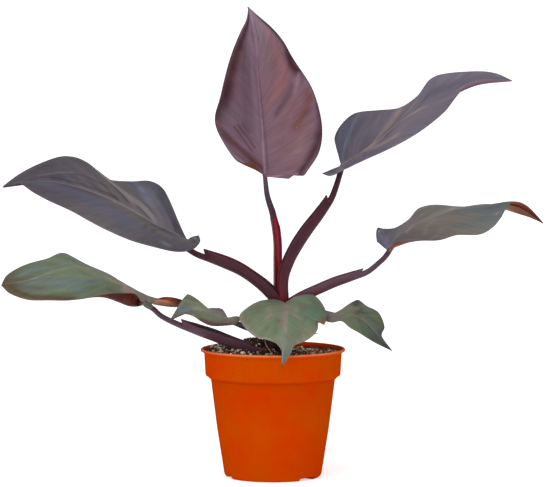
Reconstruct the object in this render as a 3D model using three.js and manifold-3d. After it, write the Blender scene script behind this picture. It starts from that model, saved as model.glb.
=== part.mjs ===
// A burgundy philodendron with eight leaves in a round plastic nursery pot.
// Millimetres, +Z up. The origin is the middle of the pot's underside, and the front of the plant faces -Y.
import * as THREE from "three";
import { mergeVertices } from "three/addons/utils/BufferGeometryUtils.js";
import Module from "manifold-3d";

const wasm = await Module();
wasm.setup();

// Driving dimensions
const GAP = 0.3; // clearance between neighbouring solids
const POT_HEIGHT = 107;
const LIP_RADIUS = 60;
const POT_WALL = 1.2;
const POT_FLOOR = 1.6;
const FOOT_RADIUS = 36.5;
const COLLAR_HEIGHT = 22; // from the step under the collar to the top of the lip
const COLLAR_RADIUS = 56;
const WAIST_RADIUS = 51.4; // the pot's outside just under the collar
const POT_SIDES = 48;
const NOTCH_HEIGHT = 3;
const NOTCH_DEPTH = 9;
const NOTCH_WIDTH = 18;
const NOTCH_ANGLES = [-42.5, 77.5, 197.5]; // degrees from +X
const DRAIN_RADIUS = 3;
const SOIL_LEVEL = 102.6; // mean height of the soil's surface
const MOUND_HEIGHT = 10; // of the soil heaped behind the lower leaf stalks
const BLADE_THICKNESS = 0.8;
const ROW_SWEEP = 1.6; // how far forward the cross rows of a blade run from the midrib to the edge
const STEM_RADII = [5.2, 5.8, 5.8, 5.6, 5.2];
const ROOT_RADIUS = 2.2;
const ROOT_LENGTH = 26;
const ROOT_COUNT = 5;
const RING_STEP = 9; // spacing of the sections along a leaf stalk
const POINT_LENGTH = 6; // free points at the end of a sheath

// Colours of the parts
const POT_ORANGE = 0xcb4602;
const SOIL_BROWN = 0x33261d;
const STALK_BURGUNDY = 0x4b232d;

// The blades. Each has three rails, from the base to the tip: the midrib, and the left and right edge as seen
// on the upper face with the tip ahead. The edges start at the inner corner of the base lobe. crown_left and
// crown_right say how far each half swells above the straight line from midrib to edge, at even steps from base
// to tip.
const LEAVES = {
  leaf_1: {
    midrib: [[-6.5, 2, 249], [-9, 3, 287], [-12, 3, 324], [-14, 5, 357], [-20.4, 12, 389]],
    left: [
      [-16, -5, 259.8], [-29.4, -10, 262.8], [-40.5, -13, 276.8], [-47.5, -12, 296.5], [-43, -9, 317],
      [-35.3, -4, 347], [-27, 3, 368], [-23, 7, 376], [-21.2, 9.5, 382], [-20.4, 12, 389],
    ],
    right: [
      [13, -4, 247.5], [19, -5, 251.2], [24.5, -6, 250.2], [28, -6, 253.5], [38.5, -6, 271],
      [40.3, -4, 293], [32.7, -2, 321.3], [16.2, 1, 347.4], [8.4, 3, 361.2], [-1.8, 6, 372.6],
      [-20.4, 12, 389],
    ],
    crown_left: [0, -2, 2, 1, 0],
    crown_right: [0, 3, 3, 2, 0],
    rib: 2.4,
    colour: 0x6d4a58,
  },
  leaf_2: {
    midrib: [
      [57, 25, 257], [70, 30, 265], [88, 37, 277], [106, 44, 292], [127, 50, 304], [148, 54, 314],
      [172, 57, 323.8], [201, 60, 326.8],
    ],
    left: [
      [52.6, 38, 273], [51.6, 44, 280.2], [57.6, 52, 290.5], [69.2, 60, 299.3], [89, 72, 301.4],
      [107, 80, 303], [121, 82, 311.9], [133.2, 80, 327.2], [149, 78, 332.5], [173, 72, 334],
      [188, 66, 332.5], [201, 60, 326.8],
    ],
    right: [
      [40.5, 8, 251.3], [48, 2, 249.8], [59, -6, 255.6], [76, -10, 264], [92, -8, 271],
      [109, -2, 278.8], [125.8, 6, 289.4], [141.9, 16, 301.5], [152.6, 28, 314.5], [162, 38, 323.2],
      [177, 50, 328.3], [201, 60, 326.8],
    ],
    crown_left: [0, -6, -3, -2, 0],
    crown_right: [0, -2, 3, 2, 0],
    rib: 2.6,
    colour: 0x655c68,
  },
  leaf_3: {
    midrib: [
      [-70, 12, 194], [-80, 13, 200], [-98, 16, 209], [-123, 21, 223], [-144, 25, 232], [-165, 29, 239],
      [-190, 32, 243], [-226, 36, 238.6],
    ],
    left: [
      [-61, -6, 201], [-60, -13, 196], [-66, -20, 190.4], [-78, -25, 189], [-94, -27, 191.9],
      [-116, -24, 198.1], [-138, -18, 206.8], [-163, -8, 219.5], [-184, 4, 228.4], [-199, 15, 235.2],
      [-212, 26, 242.1], [-226, 36, 238.6],
    ],
    right: [
      [-76.7, 24, 201], [-79.7, 31, 207], [-85.2, 37, 221.5], [-91.6, 40, 236.2], [-103, 43, 243.2],
      [-120, 47, 242.4], [-137, 50, 244], [-149, 54, 252], [-160, 57, 260.4], [-177, 58, 263.2],
      [-196, 55, 256.9], [-212, 47, 249.3], [-226, 36, 238.6],
    ],
    crown_left: [3, 4, 3, 2, 0],
    crown_right: [0, 3, 3, 2, 0],
    rib: 2.6,
    colour: 0x5b5660,
  },
  leaf_4: {
    midrib: [
      [94, -8, 189], [103, -9, 201], [121, -11, 211], [142, -13, 220], [158, -15, 224], [178, -17, 227],
      [198, -18, 227], [211, -19, 220.5], [222, -20, 212],
    ],
    left: [
      [86, 5, 195], [85.6, 11, 200.5], [87, 16, 205.6], [92, 19, 204.9], [102, 23, 205.5],
      [113, 26, 211.8], [121, 28, 221], [133, 29, 224], [149, 27, 223], [168, 20, 223.5],
      [183, 10, 225.3], [193, 2, 221.6], [201, -5, 219], [212, -12, 216.1], [222, -20, 212],
    ],
    right: [
      [95, -22, 190], [101, -30, 197], [109, -38, 198], [121, -45, 199.6], [136, -50, 200.6],
      [150, -53, 204.6], [168, -52, 205.3], [178.6, -47, 210.3], [185.5, -41, 217.8],
      [190.4, -34, 224.8], [198, -27, 230], [209, -22, 226.1], [222, -20, 212],
    ],
    crown_left: [0, 0, 1, 1, 0],
    crown_right: [-3, -1, 2, 1, 0],
    rib: 2.4,
    colour: 0x646a6b,
  },
  leaf_5: {
    midrib: [
      [-101, -18, 145], [-109, -19, 152], [-122, -21, 159], [-138, -25, 166], [-158, -30, 169],
      [-182, -36, 169], [-203, -40, 166], [-221.5, -44, 163],
    ],
    left: [
      [-108, -30, 148], [-113, -41, 155.7], [-125, -51, 157], [-140, -60, 156.4], [-156, -66, 153.4],
      [-176, -70, 153], [-197, -68, 153.3], [-212.5, -58, 157], [-221.5, -44, 163],
    ],
    right: [
      [-75, 4, 146.6], [-78, 10, 140.5], [-90, 17, 140.3], [-104, 23, 142.4], [-124, 26, 150.7],
      [-144, 24, 163.1], [-161, 18, 176.6], [-174, 8, 185.4], [-188, -4, 181.4], [-206, -20, 176.8],
      [-217.2, -34, 170.7], [-221.5, -44, 163],
    ],
    crown_left: [-3, -9, -2, 2, 1, 0],
    crown_right: [5.2, 4, 4.6, 2, 0, 0],
    rib: 2.4,
    colour: 0x5f7468,
  },
  leaf_6: {
    midrib: [[-37, -24, 134], [-47, -32, 137], [-56, -41, 141], [-68, -51, 142], [-83.5, -62, 136.5]],
    left: [
      [-26, -13, 133], [-30, -26, 129.6], [-39, -38, 129.3], [-50, -52, 130.6], [-58, -58, 134.6],
      [-65, -62, 139.6], [-73, -63, 141], [-83.5, -62, 136.5],
    ],
    right: [
      [-39, -16, 136.6], [-42, -13, 140.8], [-49, -14, 141.7], [-57.5, -20, 141.9], [-64, -28, 147.9],
      [-69, -36, 155], [-74.5, -46, 150.5], [-79.5, -54, 142.5], [-83.5, -62, 136.5],
    ],
    crown_left: [2, 2, 2, 1, 0],
    crown_right: [0, 1, 2, 1, 0],
    rib: 1.6,
    colour: 0x5d7163,
    small: true,
  },
  leaf_7: {
    midrib: [[10, -14, 146], [11, -32, 142], [11, -50, 134], [10, -62, 123], [8, -68, 111], [7, -72, 99]],
    left: [
      [21, -2, 151.4], [29, -4, 153], [36.7, -10, 149.7], [42.6, -20, 142], [43.6, -31, 135],
      [42, -37, 130], [37.4, -37, 132], [36.6, -43, 127.1], [33.3, -48, 122.7], [27, -54, 118.6],
      [17.6, -62, 115.6], [14, -67, 109], [7, -72, 99],
    ],
    right: [
      [1, -2, 148], [-11, -6, 146.7], [-21, -14, 142], [-27.7, -23, 135.4], [-23.4, -36, 127.9],
      [-14.6, -48, 121.4], [-6, -57, 120], [3, -63, 117], [8, -68, 109], [7, -72, 99],
    ],
    crown_left: [0, 2, 2, 1, 0],
    crown_right: [0, 2, 2, 1, 0],
    rib: 1.8,
    colour: 0x6b8269,
    small: true,
  },
  leaf_8: {
    midrib: [[43, -12, 136], [55, -19, 136], [67, -27, 136], [76, -34, 131], [84, -41, 123], [97, -50, 110]],
    left: [
      [42, -6, 139.4], [51, -3, 136.8], [58.5, -4, 136.6], [64.8, -6, 143.5], [70, -8, 147.9],
      [77.2, -14, 143.4], [86.8, -24, 138.7], [91.3, -34, 128.2], [89, -41, 121], [97, -50, 110],
    ],
    right: [
      [39, -18, 132.5], [48, -28, 131], [56, -38, 133], [63, -48, 128.5], [71, -54, 124.5],
      [79, -56, 119.5], [88, -54, 114.5], [97, -50, 110],
    ],
    crown_left: [0, 1, 2, 1, 0],
    crown_right: [0, 1, 2, 1, 0],
    rib: 1.6,
    colour: 0x66786a,
    small: true,
  },
};

// The leaf stalks, each from the stem to just under its blade. upper is the side that the sheath opens to, wings
// how high the sheath stands above the stalk's axis from its base to its end, half how wide its channel is to each
// side, and sheath the part of the stalk's length that it covers before it ends in a free point.
const STALKS = {
  petiole_1: {
    path: [
      [3.6, 4, 146], [3.7, 5, 160], [3.5, 6, 178], [3.1, 5, 197], [0.2, 3, 217], [-4.6, 2, 233], [-6.7, 3.6, 250],
    ],
    radii: [4.2, 4.1, 3.8, 3.4, 2.9, 2.3, 1.8],
    upper: [0.3, -1, 0],
    wings: [3.2, 3.6, 3.4],
    half: 3.2,
    sheath: 0.66,
  },
  petiole_2: {
    path: [
      [9.6, -2, 146], [9.5, -1, 164], [14, 2, 178], [20.5, 6, 190], [29.5, 12, 203], [39.5, 17, 216],
      [47.9, 21, 228.5], [52, 24, 238], [57, 26, 254],
    ],
    radii: [3.6, 3.5, 3.5, 3.5, 3.3, 3.1, 2.8, 2.5, 2.3],
    upper: [-0.75, -0.2, 0.6],
    wings: [4.4, 5.8, 6.6, 5.4],
    half: 3.4,
    sheath: 0.742,
  },
  petiole_3: {
    path: [
      [6, 0, 143], [-4, 1, 153.5], [-16, 3, 163], [-27, 5, 170], [-40, 7, 175.5], [-52, 9, 180],
      [-62, 11, 183.5], [-70, 12.5, 188], [-77, 13.5, 194.5],
    ],
    radii: [4.4, 4.2, 3.5, 3.3, 3.1, 2.9, 2.7, 2.5, 2.3],
    upper: [0.3, -0.2, 1],
    wings: [5, 6.4, 6.2, 7, 6.4],
    half: 3.4,
    sheath: 0.722,
  },
  petiole_4: {
    path: [
      [9, -1, 141.5], [21, -2, 148], [35, -4, 154], [51, -6, 161], [65, -7, 166], [78, -8, 171],
      [88, -8, 179], [93, -8, 184], [97, -8, 190],
    ],
    radii: [3.4, 3.3, 3.2, 3.1, 2.9, 2.6, 2.3, 2.2, 2.2],
    upper: [-0.4, -0.2, 1],
    wings: [3, 4.8, 5, 4.4],
    half: 3.1,
    sheath: 0.657,
  },
  petiole_5: {
    path: [
      [-7, -3, 104], [-21, -5, 107], [-36, -8, 112], [-49, -11, 117.2], [-62, -14, 121.9],
      [-77, -16, 127.8], [-91, -17, 134.7], [-98, -17.5, 140.8], [-103, -18, 144],
    ],
    radii: [4.6, 4.5, 4, 3.5, 3.2, 2.7, 2.4, 2.2, 2.2],
    upper: [0.3, -0.3, 1],
    wings: [4, 5.2, 5.8, 5.2],
    half: 3.9,
    sheath: 0.66,
  },
  petiole_6: {
    path: [[-4, -2, 116], [-15, -9, 123], [-24, -16, 126.8], [-32, -21, 130.2], [-36.4, -23.5, 131.8]],
    radii: [2.9, 3, 2.9, 2.4, 1.8],
    upper: [0.6, 0.3, 1],
    wings: [2.8, 3.6, 3.2],
    half: 2.8,
    sheath: 0.45,
  },
  petiole_7: {
    path: [[4, -2, 126], [8, -6, 135], [10, -10, 141], [10, -13.5, 143.2]],
    radii: [2.6, 2.3, 2, 1.8],
    upper: [0, 0.8, 0.6],
    wings: [2.6, 3, 2.6],
    half: 2.6,
    sheath: 0.4,
  },
  petiole_8: {
    path: [[2, -2, 112], [14, -7, 118], [27, -11, 125], [36, -12.5, 130], [42.4, -11.8, 133.6]],
    radii: [2.9, 2.5, 2, 1.8, 1.6],
    upper: [-0.4, 0, 1],
    wings: [2.8, 3.4, 3],
    half: 2.6,
    sheath: 0.5,
  },
};

const STEM_PATH = [[-3, 0, 84], [-1, 0, 100], [1.5, 0, 116], [5, 0, 133], [8, 0, 147]];

// Geometry helpers

const vector = (point) => new THREE.Vector3(...point);

// A closed mesh from a list of vertices and a list of triangles.
function meshGeometry(vertices, triangles) {
  const geometry = new THREE.BufferGeometry();
  const numbers = vertices.flatMap((v) => [v.x, v.y, v.z]);
  geometry.setAttribute("position", new THREE.Float32BufferAttribute(numbers, 3));
  geometry.setIndex(triangles.flat());
  return geometry;
}

// Geometry to solid, for joining and cutting.
function solid(geometry) {
  const bare = geometry.clone();
  bare.deleteAttribute("normal");
  bare.deleteAttribute("uv");
  const merged = mergeVertices(bare, 1e-4);
  return new wasm.Manifold(
    new wasm.Mesh({
      numProp: 3,
      vertProperties: merged.attributes.position.array,
      triVerts: new Uint32Array(merged.index.array),
    }),
  );
}

// Solid back to geometry, with only its largest body kept.
function geometryOf(body) {
  const largest = body.decompose().reduce((a, b) => (a.volume() > b.volume() ? a : b));
  const mesh = largest.getMesh();
  const geometry = new THREE.BufferGeometry();
  geometry.setAttribute("position", new THREE.BufferAttribute(mesh.vertProperties, 3));
  geometry.setIndex(new THREE.BufferAttribute(mesh.triVerts, 1));
  return geometry;
}

// Values from start to end in so many even steps.
const evenSteps = (start, end, steps) => {
  return Array.from({ length: steps + 1 }, (_, i) => start + ((end - start) * i) / steps);
};

// Rings of equally many points, joined in order and closed by a flat fan at each end.
function loft(rings) {
  const count = rings[0].length;
  const vertices = rings.flat();
  const triangles = [];
  for (let r = 0; r + 1 < rings.length; r++) {
    for (let k = 0; k < count; k++) {
      const a = r * count + k;
      const b = r * count + ((k + 1) % count);
      triangles.push([a, b, b + count], [a, b + count, a + count]);
    }
  }
  const last = (rings.length - 1) * count;
  const start = vertices.push(middle(rings[0])) - 1;
  const end = vertices.push(middle(rings.at(-1))) - 1;
  for (let k = 0; k < count; k++) {
    const next = (k + 1) % count;
    triangles.push([start, next, k], [end, last + k, last + next]);
  }
  return meshGeometry(vertices, triangles);
}

function middle(ring) {
  const sum = ring.reduce((total, point) => total.add(point), new THREE.Vector3());
  return sum.divideScalar(ring.length);
}

const curveThrough = (points) => new THREE.CatmullRomCurve3(points.map(vector), false, "catmullrom", 0.5);

// A value given at even steps along a length, read smoothly at t between 0 and 1.
function along(values, t) {
  return curveThrough(values.map((value) => [value, 0, 0])).getPoint(t).x;
}

// Blades

// Points of a blade's middle surface: rows from the base to the tip, columns from the left to the right edge.
function bladeSurface(leaf, rows, columns) {
  const midrib = curveThrough(leaf.midrib);
  const halves = [
    { edge: curveThrough(leaf.left), crown: leaf.crown_left, sign: 1 },
    { edge: curveThrough(leaf.right), crown: leaf.crown_right, sign: -1 },
  ];
  return rows.map((s) => {
    const root = midrib.getPointAt(s ** ROW_SWEEP);
    const [left, right] = halves.map(({ edge, crown, sign }) => {
      const across = edge.getPointAt(s).sub(root);
      const forward = rowShift(edge, midrib, s);
      const up = forward.cross(across).normalize().multiplyScalar(sign * along(crown, s));
      return columns.map((v) => {
        const swell = 4 * v * (1 - v);
        return root.clone().addScaledVector(across, v).addScaledVector(up, swell);
      });
    });
    return [...left.slice(1).reverse(), ...right];
  });
}

// Direction in which the rows of a blade advance at s.
function rowShift(edge, midrib, s) {
  const before = Math.max(s - 0.001, 0);
  const after = Math.min(s + 0.001, 1);
  const atEdge = edge.getPointAt(after).sub(edge.getPointAt(before));
  const atMidrib = midrib.getPointAt(after ** ROW_SWEEP).sub(midrib.getPointAt(before ** ROW_SWEEP));
  return atEdge.add(atMidrib).normalize();
}

// A blade as a thin solid, with its midrib raised on the underside. extra thickens it and moves its edges out.
function blade(leaf, extra = 0) {
  const rowCount = leaf.small ? 12 : 18;
  const rows = evenSteps(0, 0.99, rowCount);
  const columns = leaf.small ? [0, 0.12, 0.5, 1] : [0, 0.08, 0.36, 0.68, 1];
  const surface = bladeSurface(leaf, rows, columns);
  const width = surface[0].length;
  const ribColumn = columns.length - 1;
  const upper = [];
  const lower = [];
  surface.forEach((row, i) => {
    row.forEach((point, j) => {
      const ahead = surface[Math.min(i + 1, rowCount)][j];
      const behind = surface[Math.max(i - 1, 0)][j];
      const right = row[Math.min(j + 1, width - 1)];
      const left = row[Math.max(j - 1, 0)];
      const forward = ahead.clone().sub(behind).normalize();
      const sideways = right.clone().sub(left).normalize();
      const normal = sideways.clone().cross(forward).normalize();
      const moved = point.clone();
      moved.addScaledVector(sideways, extra * ((j === width - 1) - (j === 0)));
      moved.addScaledVector(forward, extra * ((i === rowCount) - (i === 0)));
      const rib = j === ribColumn ? leaf.rib * (1 - 0.8 * (i / rowCount)) : 0;
      upper.push(moved.clone().addScaledVector(normal, BLADE_THICKNESS / 2 + extra));
      lower.push(moved.clone().addScaledVector(normal, -BLADE_THICKNESS / 2 - extra - rib));
    });
  });
  return meshGeometry([...upper, ...lower], sheetTriangles(rowCount, width));
}

// Triangles of two matching grids with walls between their borders.
function sheetTriangles(rowCount, width) {
  const offset = (rowCount + 1) * width;
  const triangles = [];
  const wall = (p, q) => triangles.push([q, p, p + offset], [q, p + offset, q + offset]);
  for (let i = 0; i < rowCount; i++) {
    for (let j = 0; j + 1 < width; j++) {
      const a = i * width + j;
      const c = a + width + 1;
      triangles.push([a, a + 1, c], [a, c, c - 1]);
      triangles.push([a + offset, c + offset, a + 1 + offset], [a + offset, c - 1 + offset, c + offset]);
    }
    wall((i + 1) * width, i * width);
    wall((i + 1) * width - 1, (i + 2) * width - 1);
  }
  for (let j = 0; j + 1 < width; j++) {
    wall(j, j + 1);
    wall(rowCount * width + j + 1, rowCount * width + j);
  }
  return triangles;
}

// Stalks and stem

// Section of a stalk, as points [side, up] round its axis: a channel with two wings where the sheath stands,
// and round past it. A filled section has no channel between the wings.
function stalkSection(radius, wing, half, open, filled) {
  const channel = [
    [0, filled ? wing : 0.2 * radius],
    [0.5 * half, filled ? wing : 0.35 * wing],
    [0.72 * half, wing],
    [1.05 * half, 0.9 * wing],
    [half, 0],
    [0.6 * radius, -0.8 * radius],
  ];
  const round = channel.map((_, k) => {
    const angle = (k / channel.length) * Math.PI;
    return [radius * Math.sin(angle), radius * Math.cos(angle)];
  });
  const flank = open ? channel : round;
  const mirrored = flank.slice(1).reverse().map(([side, up]) => [-side, up]);
  return [...flank, [0, -radius], ...mirrored];
}

// The axis of a stalk at t: its point, and the directions ahead, to the side and to the upper side.
function stalkFrame(stalk, t) {
  const curve = curveThrough(stalk.path);
  const point = curve.getPointAt(t);
  const ahead = curve.getTangentAt(t);
  const side = ahead.clone().cross(vector(stalk.upper)).normalize();
  const up = side.clone().cross(ahead).normalize();
  return { point, ahead, side, up };
}

// A stalk with its sheath, whose two wings end in free points that lean ahead. extra moves its surface out.
function stalk(spec, extra = 0) {
  const length = curveThrough(spec.path).getLength();
  const sheathed = evenSteps(0, spec.sheath, Math.ceil((spec.sheath * length) / RING_STEP));
  const bare = evenSteps(spec.sheath + 1 / length, 1, Math.ceil(((1 - spec.sheath) * length) / RING_STEP));
  const rings = [...sheathed, ...bare].map((t) => {
    const { point, ahead, side, up } = stalkFrame(spec, t);
    const radius = along(spec.radii, t) + extra;
    const wing = along(spec.wings, Math.min(t / spec.sheath, 1)) + extra;
    const lean = t === spec.sheath ? POINT_LENGTH + extra : 0;
    return stalkSection(radius, wing, spec.half + extra, t <= spec.sheath, extra > 0).map(([s, u]) =>
      point
        .clone()
        .addScaledVector(side, s)
        .addScaledVector(up, u)
        .addScaledVector(ahead, lean * Math.max(u / wing, 0) ** 2),
    );
  });
  return solid(loft(rings));
}

// Points on the unit circle, against the clock.
function circle(count) {
  return Array.from({ length: count }, (_, k) => {
    const angle = (2 * Math.PI * k) / count;
    return [Math.cos(angle), Math.sin(angle)];
  });
}

// A round rod along a path, with its radii at even steps.
function rod(path, radii, sides, steps, extra = 0) {
  const curve = curveThrough(path);
  const reference = new THREE.Vector3(0, 1, 0);
  const rings = evenSteps(0, 1, steps).map((t) => {
    const point = curve.getPointAt(t);
    const side = reference.clone().cross(curve.getTangentAt(t)).normalize();
    const up = curve.getTangentAt(t).cross(side);
    const radius = along(radii, t) + extra;
    return circle(sides).map(([c, s]) =>
      point.clone().addScaledVector(side, c * radius).addScaledVector(up, s * radius),
    );
  });
  return solid(loft(rings));
}

// The short stem, with stout roots that spread from its foot.
function stem(extra = 0) {
  let body = rod(STEM_PATH, STEM_RADII, 12, 8, extra);
  const foot = vector(STEM_PATH[0]);
  for (let k = 0; k < ROOT_COUNT; k++) {
    const angle = (2 * Math.PI * (k + 0.3)) / ROOT_COUNT;
    const spread = ROOT_LENGTH * (0.8 + 0.1 * (k % 3));
    const drop = ROOT_LENGTH * 0.8;
    const path = [0, 0.5, 1].map((t) => [
      foot.x + Math.cos(angle) * spread * t,
      foot.y + Math.sin(angle) * spread * t,
      foot.z + 4 - drop * t * t,
    ]);
    body = body.add(rod(path, [ROOT_RADIUS, 0.8 * ROOT_RADIUS, 0.5 * ROOT_RADIUS], 7, 3, extra));
  }
  return body;
}

// Pot and soil

const STEP_Z = POT_HEIGHT - COLLAR_HEIGHT; // where the collar begins

// Outside of the pot, from the axis up to the top of the lip.
const OUTSIDE = [
  [0, 0],
  [FOOT_RADIUS, 0],
  [FOOT_RADIUS + 2.6, 1],
  [FOOT_RADIUS + 4, 3.6],
  [FOOT_RADIUS + 4.5, 7],
  [WAIST_RADIUS, STEP_Z - 4],
  [WAIST_RADIUS + 1.2, STEP_Z - 2.6],
  [COLLAR_RADIUS - 0.8, STEP_Z - 0.4],
  [COLLAR_RADIUS, STEP_Z + 0.6],
  [COLLAR_RADIUS + 1, POT_HEIGHT - 3.4],
  [LIP_RADIUS - 0.7, POT_HEIGHT - 2.3],
  [LIP_RADIUS, POT_HEIGHT - 1.3],
  [LIP_RADIUS - 0.4, POT_HEIGHT - 0.3],
  [LIP_RADIUS - 1.2, POT_HEIGHT],
];

// Inside of the pot, from the top of the lip down to the floor.
const INSIDE = [
  [LIP_RADIUS - 2.2, POT_HEIGHT],
  [COLLAR_RADIUS - 0.2, POT_HEIGHT - 3.6],
  [COLLAR_RADIUS - POT_WALL, STEP_Z + 1],
  [WAIST_RADIUS + 0.2, STEP_Z - 2.6],
  [WAIST_RADIUS - POT_WALL, STEP_Z - 4.4],
  [FOOT_RADIUS + 4.5 - POT_WALL, 7],
  [FOOT_RADIUS + 2.2, 3.2],
  [FOOT_RADIUS, POT_FLOOR],
  [0, POT_FLOOR],
];

const revolve = (profile) => {
  const points = profile.map(([radius, z]) => new THREE.Vector2(radius, z));
  return solid(new THREE.LatheGeometry(points, POT_SIDES).rotateX(Math.PI / 2));
};

// A block that stands across the foot, NOTCH_DEPTH in from the edge, at each notch. margin grows it.
function notches(margin) {
  const beyond = 12; // how far the block stands out past the foot
  const depth = NOTCH_DEPTH + beyond + margin;
  return NOTCH_ANGLES.map((degrees) => {
    const block = new THREE.BoxGeometry(depth, NOTCH_WIDTH + 2 * margin, 2 * (NOTCH_HEIGHT + margin));
    block.translate(FOOT_RADIUS + beyond - depth / 2, 0, 0);
    block.rotateZ(THREE.MathUtils.degToRad(degrees));
    return solid(block);
  }).reduce((a, b) => a.add(b));
}

// One drain hole through the ceiling of each notch.
function drains() {
  return NOTCH_ANGLES.map((degrees) => {
    const hole = new THREE.CylinderGeometry(DRAIN_RADIUS, DRAIN_RADIUS, 4 * NOTCH_HEIGHT, 16);
    hole.rotateX(Math.PI / 2);
    hole.translate(FOOT_RADIUS - NOTCH_DEPTH / 2, 0, 0);
    hole.rotateZ(THREE.MathUtils.degToRad(degrees));
    return solid(hole);
  }).reduce((a, b) => a.add(b));
}

// The hollow of the pot, shrunk by inset, with the ceilings of the notches standing up in it.
function hollow(inset) {
  const wall = INSIDE.map(([radius, z]) => [Math.max(radius - inset, 0), z + (z < STEP_Z ? inset : 0)]);
  const above = POT_HEIGHT + 5;
  const profile = [[0, above], [LIP_RADIUS - inset, above], ...wall];
  return revolve(profile.reverse()).subtract(notches(POT_FLOOR + inset));
}

function pot() {
  const outside = revolve([...OUTSIDE, [0, POT_HEIGHT]]);
  return outside.subtract(notches(0)).subtract(hollow(0)).subtract(drains());
}

// Height of the soil's surface: a low heap to the left of the stem with a mound behind it, and a rise to the
// lip at the left and right.
function soilHeight(x, y) {
  const heap = 2.4 * Math.exp(-((x + 32) ** 2 + (y - 2) ** 2) / 500);
  const mound = MOUND_HEIGHT * Math.exp(-((((x + 14) / 14) ** 2 + ((y - 6) / 11) ** 2) ** 1.5));
  const collar = 2.2 * Math.exp(-((x + 3) ** 2 + y ** 2) / 220);
  const slope = -0.012 * x + 1.8 * (x / 55) ** 4;
  const lumps = 0.5 * Math.sin(0.31 * x + 0.4) * Math.cos(0.27 * y - 0.6);
  return SOIL_LEVEL + heap + mound + collar + slope + lumps;
}

function soil() {
  const radii = [62, 50, 42, 35, 29, 24, 19, 14, 9, 4];
  const ring = (radius, height) =>
    circle(36).map(([c, s]) => new THREE.Vector3(c * radius, s * radius, height(c * radius, s * radius)));
  const surface = radii.map((radius) => ring(radius, soilHeight));
  const below = ring(radii[0], () => -5);
  return solid(loft([below, ...surface])).intersect(hollow(GAP));
}

// Assembly

// Trims a solid to stand GAP clear of the given grown neighbours.
const clearOf = (body, grown) => grown.reduce((rest, neighbour) => rest.subtract(neighbour), body);

const group = new THREE.Group();
group.name = "potted_philodendron";

function place(name, geometry, colour, roughness) {
  const material = new THREE.MeshStandardMaterial({ color: colour, roughness, metalness: 0 });
  const mesh = new THREE.Mesh(geometry, material);
  mesh.name = name;
  group.add(mesh);
}

const grownBlades = Object.values(LEAVES).map((leaf) => solid(blade(leaf, GAP)));
const grownPlant = [stem(GAP)];

place("stem", geometryOf(stem()), STALK_BURGUNDY, 0.55);

for (const [name, spec] of Object.entries(STALKS)) {
  const trimmed = clearOf(stalk(spec), [...grownPlant, ...grownBlades]);
  place(name, geometryOf(trimmed), STALK_BURGUNDY, 0.45);
  grownPlant.push(stalk(spec, GAP));
}

for (const [name, leaf] of Object.entries(LEAVES)) {
  place(name, blade(leaf), leaf.colour, 0.4);
}

place("soil", geometryOf(clearOf(soil(), grownPlant)), SOIL_BROWN, 0.95);
place("pot", geometryOf(pot()), POT_ORANGE, 0.45);

export default group;
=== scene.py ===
"""A burgundy philodendron with eight leaves in a round orange nursery pot.

Shapes are worked out in millimetres in the frame of the part and turned into metres when a mesh is made.
"""

import math

import bmesh
import bpy
import numpy as np
from mathutils import Euler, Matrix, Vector


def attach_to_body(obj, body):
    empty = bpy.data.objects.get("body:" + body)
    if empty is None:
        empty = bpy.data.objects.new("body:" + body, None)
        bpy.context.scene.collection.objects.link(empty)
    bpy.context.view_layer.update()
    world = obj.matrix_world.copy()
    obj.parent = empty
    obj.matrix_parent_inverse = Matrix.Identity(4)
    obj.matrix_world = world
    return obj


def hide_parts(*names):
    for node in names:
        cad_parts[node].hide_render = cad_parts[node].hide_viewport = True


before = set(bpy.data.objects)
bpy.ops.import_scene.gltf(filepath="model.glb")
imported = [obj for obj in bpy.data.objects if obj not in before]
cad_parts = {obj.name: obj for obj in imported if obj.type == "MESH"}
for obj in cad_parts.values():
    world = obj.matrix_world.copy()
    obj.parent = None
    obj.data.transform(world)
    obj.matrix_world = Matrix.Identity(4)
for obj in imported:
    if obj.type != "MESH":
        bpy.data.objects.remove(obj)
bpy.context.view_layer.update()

MM = 0.001
SEED = 11

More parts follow.
